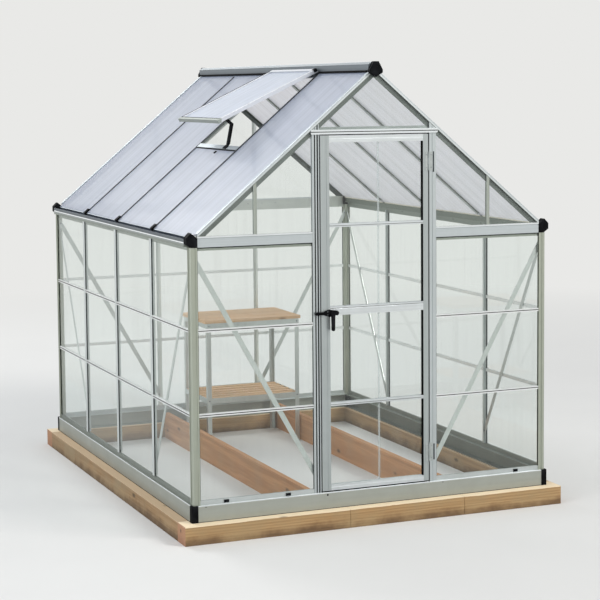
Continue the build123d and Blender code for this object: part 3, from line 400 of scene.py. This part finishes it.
def timber(name, along, pith, early, late, grey, knot, top=None, end=None):
    made, tree, place = new_material(name)

    def grown(run, across):
        size = [across, across, across]
        size["XYZ".index(along)] = run
        return stretched(tree, place, size, origin=pith)

    rings = add_node(tree, "TexWave", {"wave_type": "RINGS", "rings_direction": along},
                     {"Vector": grown(16.0, 1.0), "Scale": wave_scale(RING_PITCH), "Distortion": 6.0,
                      "Detail": 3.0, "Detail Scale": 0.7, "Detail Roughness": 0.65}).outputs["Fac"]
    fibre = noise(tree, grown(0.25, 0.007), 1.0, detail=3.0)
    patch = noise(tree, place, 0.22, rough=0.65)
    grain = blend_colours(tree, span(tree, rings, 0.0, 0.6, from_low=0.25, from_high=0.95), early, late)
    fibred = blend_colours(tree, span(tree, fibre, 0.0, 0.6, from_low=0.42, from_high=0.72), grain, late)
    colour = blend_colours(tree, span(tree, patch, 0.0, 0.7, from_low=0.4, from_high=0.68), fibred, grey)
    if top:
        height = part_of(tree, place, "Z")
        # A paler top, partly wear and partly painted light, and a darker foot
        uneven = reckon(tree, "ADD", height, span(tree, fibre, -0.002, 0.003))
        worn = reckon(tree, "GREATER_THAN", uneven, PLINTH - PALE_TOP_DEPTH)
        colour = blend_colours(tree, reckon(tree, "MULTIPLY", worn, 0.9), colour, top)
        foot_line = reckon(tree, "ADD", height, span(tree, patch, -0.03, 0.03))
        darker_foot = span(tree, foot_line, 0.75, 0.0, from_low=0.0, from_high=DARKER_FOOT_HEIGHT)
        colour = blend_colours(tree, darker_foot, colour, knot)
    if end:
        from_middle, end_grain = end
        far = reckon(tree, "ABSOLUTE", part_of(tree, place, along))
        cut = reckon(tree, "GREATER_THAN", far, from_middle)
        colour = blend_colours(tree, reckon(tree, "MULTIPLY", cut, 0.7), colour, end_grain)
    spots = add_node(tree, "TexVoronoi", None, {"Vector": grown(0.24, 0.10), "Scale": 1.0})
    knots = span(tree, spots.outputs["Distance"], 0.85, 0.0, from_low=0.05, from_high=0.14)
    relief = reckon(tree, "ADD", rings, fibre)
    wood = surface(tree, "Principled", {"Base Color": blend_colours(tree, knots, colour, knot),
                                        "Roughness": span(tree, fibre, 0.66, 0.84),
                                        "Normal": bump(tree, relief, depth=0.0010, strength=0.4)})
    finish_material(tree, wood)
    return made


# Soft clear vinyl strip: faintly milky, with long soft marks
def clear_vinyl():
    made, tree, place = new_material("clear_vinyl_strip")
    cloud = marks_along(tree, place, (0.02, 0.02, 0.2))
    skin = surface(tree, "Principled", {"Base Color": linear("#C9CFCE"),
                                        "Roughness": span(tree, cloud, 0.12, 0.3)})
    through = see_through_tint(tree, 0.93, 0.95, 0.95)
    finish_material(tree, mix_shaders(tree, span(tree, cloud, 0.62, 0.85), skin, through))
    return made


# Zones of some extrusions: the height or the distance from the house's middle where each starts
SASH_ZONES = ((0.0, "#D4D7DD"), (0.5470, "#8E968B"))
# Beams: a dark line of painted shadow, and above it a painted highlight along the top
BEAM_ZONES = ((1.3, "#C5CCCF"), (1.3985, "#8F9698"), (1.4005, "#E9EDEF"))
# Skirts: the pale band along the top is a painted highlight
SKIRT_ZONES = ((0.08, "#ABAFA9"), (0.1655, "#C9CFD0"))
# The black sides of the side walls' bars stand for the glazing gaskets and for painted shade on the bars'
# sides
BAR_ZONES = ((0.9000, "#C9CFCE"), (0.9130, "#151718"), (0.9224, "#D8DDDD"))
# The gutter's outer wall is dark with painted shade above its bright lower edge, a painted highlight
GUTTER_ZONES = ((1.3, "#8F968E"), (1.3705, "#A3AAAB"), (1.3770, "#E4E8EA"), (1.3820, "#4F5865"))
# A face farther from the house's middle than these is an outer one
GUTTER_FACE = 0.9035
HEAD_FACE = HALF_LENGTH - 0.0005
SKIRT_FACE = HALF_WIDTH + 0.0045

UPRIGHTS = extruded("mill_aluminium_upright", "#C3CACC", "#A0A7A6", 0.38, UPRIGHT)
# The back wall's bars are a paler copy of the uprights: painted light
BACK_UPRIGHTS = extruded("mill_aluminium_back_bar_painted_light", "#EAEEEA", "#CDD2CE", 0.42, UPRIGHT)
CURB = extruded("mill_aluminium_curb", "#B9C0C4", "#A3AAAC", 0.60, LEVEL)
SASH_METAL = extruded("mill_aluminium_sash", SASH_ZONES, "#B9BDC2", 0.50, BROAD, line_share=0.2, across="X")
POSTS = extruded("mill_aluminium_post", "#B0B5A8", "#91978B", 0.40, UPRIGHT)
BARS = extruded("mill_aluminium_bar", BAR_ZONES, "#A9B0AE", 0.40, UPRIGHT, line_share=0.15, across="X")
# The front beams' lip behind the glass is darker: painted shade
BEAMS = extruded("mill_aluminium_beam", BEAM_ZONES, "#A3AAAA", 0.38, LEVEL,
                 ("Y", BEHIND_GLASS, "#9DA295"), line_share=0.25)
# The back beam's room side is paler: painted light
BACK_BEAM = extruded("mill_aluminium_back_beam", BEAM_ZONES, "#B4BABA", 0.42, LEVEL,
                     ("Y", BEHIND_GLASS, "#DFE3DC"), line_share=0.2)
# The gutters' inner faces are darker: painted shade
GUTTERS = extruded("mill_aluminium_gutter", GUTTER_ZONES, "#8F9692", 0.42, LEVEL,
                   ("X", GUTTER_FACE, "#777E74"), line_share=0.15)
# The head's faces behind its front face are darker: painted shade
HEAD = extruded("mill_aluminium_head", "#DCE1E3", "#B9BFC1", 0.40, LEVEL,
                ("Y", HEAD_FACE, "#979D9B"), line_share=0.15)
RAILS = extruded("mill_aluminium_rail", "#F0F2F2", "#CBD0CF", 0.34, LEVEL, line_share=0.15)
BEADS = extruded("mill_aluminium_bead", "#DDE2E5", "#C6CCD0", 0.36, BROAD)
BRIGHT = extruded("painted_highlight_edge", "#FAFCFD", "#E8ECEE", 0.42, BROAD)
STRIPS = extruded("mill_aluminium_strip", "#D0D5D3", "#A9AFAB", 0.34, SHORT)
SKIRTS = extruded("weathered_aluminium_skirt", SKIRT_ZONES, "#989C95", 0.52, BANDED, line_share=0.2)
# The side skirts' inner faces are darker: painted shade
SIDE_SKIRTS = extruded("weathered_aluminium_side_skirt", SKIRT_ZONES, "#989C95", 0.52, BANDED,
                       ("X", SKIRT_FACE, "#7A807A"), line_share=0.2)
GABLE_BARS = extruded("mill_aluminium_gable_bar", "#A6ACA4", "#8A9089", 0.42, UPRIGHT)
DOOR = door_metal()
RAFTERS = rafter_metal()
RIDGES = ridge_metal()
CAPPED = capped_bar()
GLASS = float_glass()
SHEET = twin_wall("twin_wall_polycarbonate", "#D0DEF8", "#BECFEF", "#DFDCDE", 0.5, 0.12)
# The sash's sheet is a paler copy of the roof's sheet: painted light
SASH_SHEET = twin_wall("twin_wall_sash_painted_light", "#E9F1FF", "#DCE7FC", "#EDF2FC", 0.25, 0.04)
NYLON = moulded("moulded_black_nylon", "#0B0C0E", "#202124", 0.66)
RUBBER = moulded("extruded_black_gasket", "#070808", "#131415", 0.7)
CLOSER = moulded("grey_closing_strip", "#59616E", "#6F7783", 0.6)
SHADE_AND_GRIME = moulded("gutter_grime_and_painted_shade", "#3F454E", "#5A616B", 0.65)
SLIT = moulded("shaded_slot_lining", "#3D4244", "#4E5355", 0.6)
TAPE = moulded("cream_sealing_tape", "#F3F0E2", "#E4E0CF", 0.6)
HINGE = plated_steel("grey_coated_hinge", "#B5BBBA", "#A4AAA9", 0.40)
ZINC = plated_steel("zinc_plated_bolt", "#A3A9AC", "#70767A", 0.34)
VINYL = clear_vinyl()
FRONT_TIMBER = timber("sawn_larch_front", "X", (0.2, -1.27, 0.02),
                      "#B59264", "#93714A", "#9C8763", "#4C3827", top="#F3E0BF", end=(0.9842, "#AA7B60"))
# The side timber and its top are darker than the front's: partly its own tone, partly painted shade
SIDE_TIMBER = timber("sawn_larch_side", "Y", (0.98, 0.3, 0.02),
                     "#A3845D", "#856643", "#938467", "#493826", top="#C3A988")
BENCH_BOARD = timber("planed_spruce_bench", "X", (0.1, 1.0, 0.60),
                     "#E2BD96", "#C39D76", "#CDB091", "#8A6D4E")
BED_BOARD = timber("planed_larch_bed", "Y", (0.07, 0.0, 0.03),
                   "#C58F60", "#A06F47", "#B08A66", "#5A4330")

# Each CAD node's finish
FINISHES = {
    "plinth_front": FRONT_TIMBER, "plinth_back": FRONT_TIMBER, "plinth_sides": SIDE_TIMBER,
    "base_front": SKIRTS, "base_back": SKIRTS, "base_sides": SIDE_SKIRTS, "base_corner_caps": NYLON,
    "corner_posts": POSTS, "side_wall_bars": BARS, "back_wall_bars": BACK_UPRIGHTS,
    "front_gable_bars": GABLE_BARS, "door_jambs": UPRIGHTS, "door_head": HEAD, "front_eave_beams": BEAMS,
    "back_eave_beam": BACK_BEAM, "gutters": GUTTERS, "eave_corner_caps": NYLON,
    "front_rafters": RAFTERS, "back_rafters": RAFTERS, "ridge_beam": RIDGES, "ridge_end_caps": NYLON,
    "left_roof_bars": CAPPED, "right_roof_bars": CAPPED, "roof_bar_clips": NYLON,
    "left_roof_panels": SHEET, "right_roof_panels": SHEET, "front_wall_glass": GLASS,
    "back_wall_glass": GLASS, "left_wall_glass": GLASS, "right_wall_glass": GLASS,
    "pane_rails": RAILS, "wall_braces": STRIPS, "vent_sill": CURB, "vent_frame": SASH_METAL,
    "vent_panel": SASH_SHEET, "vent_stay": NYLON, "door_frame": DOOR, "door_glass": GLASS,
    "door_hinges": HINGE, "jamb_hinges": HINGE, "door_latch": NYLON, "door_lever": NYLON,
    "bench_frame": STRIPS, "bench_shelf": BENCH_BOARD, "bench_top": BENCH_BOARD, "bed_boards": BED_BOARD,
}
for name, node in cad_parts.items():
    for slot in node.material_slots:
        slot.material = FINISHES[name]


# Making pieces
def ease(bm, edges, size):
    bmesh.ops.bevel(bm, geom=edges, offset=size, segments=2, profile=0.5, affect="EDGES", material=-1)


def strip(bm, place, along, inward, up, edge=0.0):
    """A block in a wall's or slope's frame, from its span along each axis, with its edges eased."""
    spans = (along, inward, up)
    middle = [(low + high) / 2 for low, high in spans]
    size = [high - low for low, high in spans]
    matrix = place @ Matrix.Translation(middle) @ Matrix.Diagonal((*size, 1))
    made = bmesh.ops.create_cube(bm, size=1, matrix=matrix)["verts"]
    if edge:
        ease(bm, list({e for v in made for e in v.link_edges}), edge)


STUD_SIDES = 12
STUD_TAPER = 0.8
STUD_DOME = 0.4


def stud(bm, place, foot, axis, radius, height):
    """A domed head that stands on a surface at its foot and points along axis."""
    turn = Vector(UP).rotation_difference(Vector(axis)).to_matrix().to_4x4()
    matrix = place @ Matrix.Translation(foot) @ turn @ Matrix.Translation((0, 0, height / 2))
    made = bmesh.ops.create_cone(bm, cap_ends=True, segments=STUD_SIDES, radius1=radius,
                                 radius2=radius * STUD_TAPER, depth=height, matrix=matrix)["verts"]
    ends = (f for f in {f for v in made for f in v.link_faces} if len(f.verts) == STUD_SIDES)
    top = max(ends, key=lambda f: (f.calc_center_median() - (place @ Vector(foot))).length)
    ease(bm, list(top.edges), height * STUD_DOME)


def add_object(name, data):
    made = bpy.data.objects.new(name, data)
    bpy.context.scene.collection.objects.link(made)
    return made


def add_mesh(name, bm, material):
    mesh = bpy.data.meshes.new(name)
    bm.to_mesh(mesh)
    bm.free()
    mesh.materials.append(material)
    return add_object(name, mesh)


def piece(name, bm, material, body="house"):
    bmesh.ops.recalc_face_normals(bm, faces=bm.faces)
    made = add_mesh(name, bm, material)
    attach(made, body)


def past(datum, low, high):
    """A span measured from a datum."""
    return datum + low, datum + high


def around(middle, half):
    return middle - half, middle + half


def mirrored(low, high, side):
    """The span between two places on the right, or the same span on the left."""
    return sorted((side * low, side * high))


def bays(bars, inner, gap):
    """Spans between the bars of a wall or slope, out to inner at both ends."""
    edges = [-inner, *bars, inner]
    return [(low if low == -inner else low + gap, high if high == inner else high - gap)
            for low, high in zip(edges, edges[1:])]


SLOPES = (LEFT_SLOPE, RIGHT_SLOPE)
WALLS = ((BACK, BACK_BARS, HALF_WIDTH), (LEFT, SIDE_BARS, HALF_LENGTH), (RIGHT, SIDE_BARS, HALF_LENGTH))
SKIRT_RUNS = ((FRONT, HALF_WIDTH), (BACK, HALF_WIDTH), (LEFT, HALF_LENGTH), (RIGHT, HALF_LENGTH))
ROW_GAP = 0.001
ROWS = tuple(zip((CHANNEL_TOP, *(h + RAIL_HALF for h in RAIL_HEIGHTS)),
                 (*(h - RAIL_HALF for h in RAIL_HEIGHTS), BEAM_BOTTOM - ROW_GAP)))
END_GAP = 0.0004
BAR_HALF = BAR_CAP / 2 + END_GAP

# Closing strips over the lower ends of the roof sheets, with a thin bright edge
GABLE_MARGIN = 0.0383
BAR_MARGIN = 0.0155
SHEET_BAYS = bays(SIDE_BARS, HALF_LENGTH - GABLE_MARGIN, BAR_MARGIN)
closers, edges = bmesh.new(), bmesh.new()
for slope in SLOPES:
    for bay in SHEET_BAYS:
        strip(closers, slope, bay, (-0.0078, 0.0001), past(SHEET_END, 0.0002, 0.0014))
        strip(edges, slope, bay, (0.0002, 0.0009), past(SHEET_END, -0.0010, 0.0016))
piece("sheet_end_closers", closers, CLOSER)
piece("sheet_end_edges", edges, CURB)

# Cream sealing tape inside, where the sheets' undersides meet the gutters
TAPE_DEPTH = (-0.0098, -0.0081)
TAPE_DOWN = (1.1730, 1.1840)
bm = bmesh.new()
for slope in SLOPES:
    for bay in SHEET_BAYS:
        strip(bm, slope, bay, TAPE_DEPTH, TAPE_DOWN)
piece("inner_sheet_tape", bm, TAPE)

# Clips on the front glazing channel
CLIP_PLACES = (-0.762, -0.454, 0.76)
CLIP_HALF = 0.0125
bm = bmesh.new()
for x in CLIP_PLACES:
    strip(bm, FRONT, around(x, CLIP_HALF), (-0.0012, 0.0023), (0.1712, 0.1845), 0.0006)
piece("channel_clips", bm, NYLON)

# Pale bead along the top edge of each skirt, a painted highlight, and the dark seam under its foot, between
# the corner caps
BASE_CAP = 0.0225
beads, seams = bmesh.new(), bmesh.new()
for wall, run in SKIRT_RUNS:
    length = around(0, run - BASE_CAP)
    strip(beads, wall, length, (-0.0086, -0.0055), past(SKIRT_TOP, -0.0042, 0.0014), 0.0008)
    strip(seams, wall, length, (-0.0088, -0.0078), past(PLINTH, 0.0002, 0.0022))
piece("skirt_highlight_beads", beads, BEADS)
piece("skirt_seams", seams, RUBBER)

# Dark glazing strip down the middle of each pane rail, which leaves two bright edges
RAIL_STRIP_HALF = 0.0017
RAIL_STRIP_DEPTH = (0.0002, 0.0014)
JAMB_GAP = 0.0006


def rail_strips(bm, wall, low, high):
    for height in RAIL_HEIGHTS:
        strip(bm, wall, (low, high), RAIL_STRIP_DEPTH, around(height, RAIL_STRIP_HALF))


bm = bmesh.new()
for wall, bars, run in WALLS:
    for low, high in bays(bars, run - POST, BAR_HALF):
        rail_strips(bm, wall, low + END_GAP, high - END_GAP)
for side in SIDES:
    rail_strips(bm, FRONT, *mirrored(JAMB_OUTER + JAMB_GAP, HALF_WIDTH - POST - JAMB_GAP, side))
piece("rail_gaskets", bm, RUBBER)

# Gaskets beside the posts and jambs, in front of the glass
GASKET = 0.0022
GASKET_DEPTH = (0.0026, 0.0052)


def upright_gasket(bm, wall, start, side):
    for row in ROWS:
        strip(bm, wall, mirrored(start, start + GASKET, side), GASKET_DEPTH, row)


bm = bmesh.new()
for wall, bars, run in WALLS:
    for side in SIDES:
        upright_gasket(bm, wall, run - POST - GASKET, side)
for side in SIDES:
    for start in (JAMB_OUTER, HALF_WIDTH - POST - GASKET):
        upright_gasket(bm, FRONT, start, side)
piece("upright_gaskets", bm, RUBBER)

# Gaskets under the gable beams' faces, and a bright bead along the back beam's room side, a painted
# highlight
BEAM_GASKET_DEPTH = (0.0012, 0.0052)
BEAM_GASKET_HEIGHT = past(BEAM_BOTTOM, -0.0042, 0.0)
BACK_HIGHLIGHT_HALF = 0.81
bm = bmesh.new()
for side in SIDES:
    half_beam = mirrored(JAMB_OUTER + END_GAP, HALF_WIDTH - POST - END_GAP, side)
    strip(bm, FRONT, half_beam, BEAM_GASKET_DEPTH, BEAM_GASKET_HEIGHT)
for bay in bays(BACK_BARS, HALF_WIDTH - POST, BAR_HALF):
    strip(bm, BACK, bay, BEAM_GASKET_DEPTH, BEAM_GASKET_HEIGHT)
piece("beam_gaskets", bm, RUBBER)
bm = bmesh.new()
strip(bm, BACK, around(0, BACK_HIGHLIGHT_HALF), (0.0139, 0.0149), (1.4020, 1.4075))
piece("back_beam_highlight_bead", bm, BEADS)

# Gutters: grime and painted shade on the floor and the inner wall, the front lip's bead, and a bright line
# of painted highlight along the edge under the outer wall's painted shade
EAVE_CAP = 0.0372
GUTTER_RUN = around(0, HALF_LENGTH - EAVE_CAP)
trough_shade_and_grime, beads, bright = bmesh.new(), bmesh.new(), bmesh.new()
for wall in (LEFT, RIGHT):
    strip(trough_shade_and_grime, wall, GUTTER_RUN, (-0.0128, 0.0186), past(EAVE, -0.0121, -0.0108))
    strip(trough_shade_and_grime, wall, GUTTER_RUN, (0.0186, 0.0200), past(EAVE, -0.0112, 0.0090))
    strip(beads, wall, GUTTER_RUN, (-0.0166, -0.0126), past(EAVE, 0.0066, 0.0108), 0.0012)
    # The bright strip along the gutter's edge is a painted highlight
    strip(bright, wall, GUTTER_RUN, (-0.0167, -0.0157), past(EAVE, -0.0088, -0.0036))
piece("gutter_floor_shade_and_grime", trough_shade_and_grime, SHADE_AND_GRIME)
piece("gutter_highlight_lines", bright, BRIGHT)
piece("gutter_beads", beads, GUTTERS)

# Seals round the doorway: in the latch jamb's groove and rebate and in the gaps beside, above and below the
# door, with a dark line along the head strip. The strip in the rebate and the dark line along the head strip
# are painted shade
UPRIGHT_SEALS = (((-0.3108, -0.3052), (0.0006, 0.0038)), ((-0.2978, -0.2912), (0.0046, 0.0088)),
                 ((-0.2860, -0.2826), (0.0060, 0.0150)), ((0.2834, 0.2860), (0.0080, 0.0170)))
SEAL_OVERLAP = 0.004
LEVEL_SEAL = ((-0.2820, 0.2830), (0.0030, 0.0150))
HEAD_LINE_HALF = 0.3270
bm = bmesh.new()
for along, inward in UPRIGHT_SEALS:
    strip(bm, FRONT, along, inward, (DOOR_BOTTOM - SEAL_OVERLAP, DOOR_TOP + SEAL_OVERLAP))
strip(bm, FRONT, *LEVEL_SEAL, past(DOOR_TOP, 0.0015, 0.0060))
strip(bm, FRONT, *LEVEL_SEAL, past(SKIRT_TOP, 0.0, 0.0042))
strip(bm, FRONT, around(0, HEAD_LINE_HALF), (-0.0063, -0.0053), (1.8702, 1.8738))
piece("doorway_seals", bm, RUBBER)

# Door: seal in front of the glass at the hinge stile, also painted shade on the stile's inner side, and dark
# lines and bright beads along its rails
PANE_GAP = 0.0005
STILE_SEAL = past(LIGHT[1], -0.0075, -0.0002)
DARK_LINE_HEIGHTS = (0.5855, 1.4325, 1.0435)
DARK_LINE_HALF = 0.0009
RAIL_BEAD_HEIGHTS = (0.1895, 1.0395, 1.839)
RAIL_BEAD_HALF = 0.0014
bm = bmesh.new()
for bottom, top in DOOR_LIGHTS:
    strip(bm, FRONT, STILE_SEAL, (0.0020, 0.0106), (bottom + PANE_GAP, top - PANE_GAP))
for height in DARK_LINE_HEIGHTS:
    strip(bm, FRONT, LIGHT, (-0.0003, 0.0004), around(height, DARK_LINE_HALF))
piece("door_seals", bm, RUBBER, "door")
bm = bmesh.new()
for height in RAIL_BEAD_HEIGHTS:
    strip(bm, FRONT, LIGHT, (-0.0006, 0.0004), around(height, RAIL_BEAD_HALF), 0.0004)
piece("door_rail_beads", bm, BEADS, "door")

# Clear strip over the joint of the door's glass
GLASS_JOINT = (0.0145, 0.0255)
bm = bmesh.new()
for bottom, top in DOOR_LIGHTS:
    strip(bm, FRONT, GLASS_JOINT, (0.0100, 0.0109), (bottom + PANE_GAP, top - PANE_GAP))
piece("door_glass_strip", bm, VINYL, "door")

# Slots beside the hinges, and their screws. A stud's last two numbers are its radius and height
SLOT_HEIGHTS = ((0.274, 0.353), (1.672, 1.771))
HINGE_SCREW_HEIGHTS = (0.285, 0.345, 1.695, 1.755)
HINGE_FACE = -0.002
HINGE_SCREW = (0.0026, 0.0009)
bm = bmesh.new()
for heights in SLOT_HEIGHTS:
    strip(bm, FRONT, (0.3045, 0.3120), (-0.0006, 0.0002), heights, 0.0002)
piece("hinge_slots", bm, SLIT)
for name, x, body in (("jamb_hinge_screws", 0.295, "house"), ("door_hinge_screws", 0.271, "door")):
    bm = bmesh.new()
    for height in HINGE_SCREW_HEIGHTS:
        stud(bm, FRONT, (x, HINGE_FACE, height), OUTWARDS, *HINGE_SCREW)
    piece(name, bm, ZINC, body)

# Screws of the latch, clear of the lever
LATCH_SCREW_HEIGHTS = (1.0145, 1.0295)
LATCH_SCREW = (0.0022, 0.0009)
bm = bmesh.new()
for height in LATCH_SCREW_HEIGHTS:
    stud(bm, FRONT, (-0.2525, -0.0119, height), OUTWARDS, *LATCH_SCREW)
piece("latch_screws", bm, ZINC, "door")

# Bolts: upper and lower ends of the braces, the bench's legs, and rivets along the back beam
BRACE_BOLTS = ((FRONT, 0.897, 0.313), (BACK, 0.897, 0.318), (LEFT, 1.187, 0.617), (RIGHT, 1.187, 0.617))
BRACE_FACE = 0.0169
BRACE_HEIGHTS = (1.304, 0.258)
BRACE_BOLT = (0.0050, 0.0040)
LEG_PLACES = (-0.1575, 0.3875)
LEG_FACE = 1.9598
LEG_BOLT_HEIGHTS = (0.712, 0.275)
LEG_BOLT = (0.0045, 0.0032)
RIVET_PLACES = (0.261, 0.352, 0.437)
BACK_BEAM_FACE = 0.0139
RIVET_HEIGHT = 1.380
RIVET = (0.0032, 0.0016)
bm = bmesh.new()
for wall, *places in BRACE_BOLTS:
    for side in SIDES:
        for x, height in zip(places, BRACE_HEIGHTS):
            stud(bm, wall, (side * x, BRACE_FACE, height), INWARDS, *BRACE_BOLT)
for x in LEG_PLACES:
    for height in LEG_BOLT_HEIGHTS:
        stud(bm, FRONT, (x, LEG_FACE, height), OUTWARDS, *LEG_BOLT)
for x in RIVET_PLACES:
    for side in SIDES:
        stud(bm, BACK, (side * x, BACK_BEAM_FACE, RIVET_HEIGHT), INWARDS, *RIVET)
piece("frame_bolts", bm, ZINC)

# Dark studs: a row along the inner face of each gutter, and three heads on the front skirt
GUTTER_STUD_STEPS = range(-3, 4)
GUTTER_STUD_PITCH = 0.32
GUTTER_STUD_START = 0.05
GUTTER_STUD = (0.0034, 0.0006)
SKIRT_STUDS = ((-0.866, 0.1600, 0.0026), (-0.2572, 0.1570, 0.0046), (0.353, 0.1605, 0.0026))
SKIRT_STUD_HEIGHT = 0.0016
bm = bmesh.new()
for wall in (LEFT, RIGHT):
    for step in GUTTER_STUD_STEPS:
        x = step * GUTTER_STUD_PITCH + GUTTER_STUD_START
        stud(bm, wall, (x, 0.0259, 1.362), INWARDS, *GUTTER_STUD)
for x, height, radius in SKIRT_STUDS:
    stud(bm, FRONT, (x, -0.0079, height), OUTWARDS, radius, SKIRT_STUD_HEIGHT)
piece("dark_studs", bm, NYLON)

# Dark strips under the ridge hood, a painted shadow in the gap above the sheets, clear of the open sash: a
# side of the house, and the span along it
RIDGE_SHADOW_STRIPS = ((-1, (-1.19, -0.612)), (-1, (0.004, 1.19)), (1, (-1.19, 1.19)))
bm = bmesh.new()
for side, along in RIDGE_SHADOW_STRIPS:
    strip(bm, HOUSE, mirrored(0.0262, 0.0316, side), along, (2.1485, 2.1584))
piece("ridge_shadow_strips", bm, RUBBER)

# Vent: seam under the sill's curb and its clip, then the sash's upper corner block and the dark line along
# its far edge
bm = bmesh.new()
strip(bm, LEFT_SLOPE, (0.0080, 0.5995), (0.0002, 0.0012), (0.6152, 0.6232))
strip(bm, LEFT_SLOPE, (0.3340, 0.3570), (0.0002, 0.0030), (0.6330, 0.6500), 0.0008)
strip(bm, SASH, (0.5870, 0.6090), (0.0179, 0.0215), (0.0005, 0.0200), 0.0010)
strip(bm, SASH, (0.6074, 0.6090), (0.0050, 0.0190), (0.0005, 0.0200))
strip(bm, SASH, (-0.0012, 0.0085), (0.0020, 0.0188), (0.0220, 0.5680))
piece("vent_fittings", bm, NYLON)

# Corner keys at the sash's lower corners, and the glazing bead along its lower bar
KEY_SPANS = ((-0.0016, 0.0100), (0.5975, 0.6091))
bm = bmesh.new()
for along in KEY_SPANS:
    strip(bm, SASH, along, (-0.0010, 0.0188), (0.5680, 0.5875), 0.0012)
piece("sash_corner_keys", bm, SASH_METAL)
bm = bmesh.new()
strip(bm, SASH, (0.0100, 0.5975), (0.0175, 0.0187), (0.5646, 0.5682), 0.0003)
piece("sash_glazing_bead", bm, RUBBER)

# Camera: it looks along its own -z, so yaw, pitch and roll turn it from straight down
CAMERA_PLACE = (-3.437, -8.708, 2.078)
yaw, pitch, roll = (math.radians(angle) for angle in (23.48, -4.99, -0.38))
cam_data = bpy.data.cameras.new("camera")
cam_data.sensor_width = 36
cam_data.lens = 104.79
cam_data.shift_x = -0.0667
cam_data.shift_y = -0.1
cam_data.clip_end = 200
camera = add_object("camera", cam_data)
camera.matrix_world = (Matrix.Translation(CAMERA_PLACE) @ Matrix.Rotation(-yaw, 4, "Z")
                       @ Matrix.Rotation(math.pi / 2 + pitch, 4, "X") @ Matrix.Rotation(roll, 4, "Z"))
bpy.context.scene.camera = camera

# Stage: a pale floor that fades into the pale background
BACKDROP = linear("#E9E9E7")
FLOOR_HALF = 60
FADE_FROM = 3.0
FADE_TO = 9.0
made, tree, place = new_material("pale_floor")
away = add_node(tree, "VectorMath", {"operation": "LENGTH"}, {0: place}).outputs["Value"]
grain = noise(tree, place, 0.6)
paint = surface(tree, "Diffuse", {"Color": blend_colours(tree, grain, "#DCDCDA", "#E0E0DE")})
plain = add_node(tree, "Emission", None, {"Color": BACKDROP, "Strength": 1.0}).outputs[0]
finish_material(tree, mix_shaders(tree, span(tree, away, 0.0, 1.0, FADE_FROM, FADE_TO), paint, plain))
bm = bmesh.new()
bmesh.ops.create_grid(bm, x_segments=1, y_segments=1, size=FLOOR_HALF)
add_mesh("floor", bm, made)

# Pale studio: the background shows to the camera, in metal and through glass, and a sky lights the rest
SKY_COLOUR = (0.93, 0.96, 1.0, 1)
SKY_STRENGTH = 0.55
world = bpy.data.worlds.new("studio")
bpy.context.scene.world = world
world.use_nodes = True
tree = world.node_tree
tree.nodes.clear()
rays = add_node(tree, "LightPath").outputs
seen = reckon(tree, "MAXIMUM", rays["Is Camera Ray"], rays["Is Glossy Ray"])
seen = reckon(tree, "MAXIMUM", seen, rays["Is Transmission Ray"])
backdrop = add_node(tree, "Background", None, {"Color": BACKDROP, "Strength": 1.0}).outputs[0]
sky = add_node(tree, "Background", None, {"Color": SKY_COLOUR, "Strength": SKY_STRENGTH}).outputs[0]
add_node(tree, "OutputWorld", None, {"Surface": mix_shaders(tree, seen, sky, backdrop)})

LAMPS_AIM = Vector((0, 0, 1.0))


def lamp(name, place, power, size, colour):
    data = bpy.data.lights.new(name, "AREA")
    data.energy = power
    data.size = size
    data.color = colour
    turn = (LAMPS_AIM - Vector(place)).to_track_quat("-Z", "Y").to_matrix().to_4x4()
    add_object(name, data).matrix_world = Matrix.Translation(place) @ turn


lamp("key", (5.5, -8.0, 7.5), 740, 4.0, (1.0, 0.97, 0.93))
lamp("fill", (-8.0, -4.0, 4.0), 280, 5.0, (0.93, 0.96, 1.0))
lamp("back", (-3.0, 8.0, 7.0), 420, 4.0, (1.0, 1.0, 1.0))

bpy.context.scene.view_settings.view_transform = "Standard"
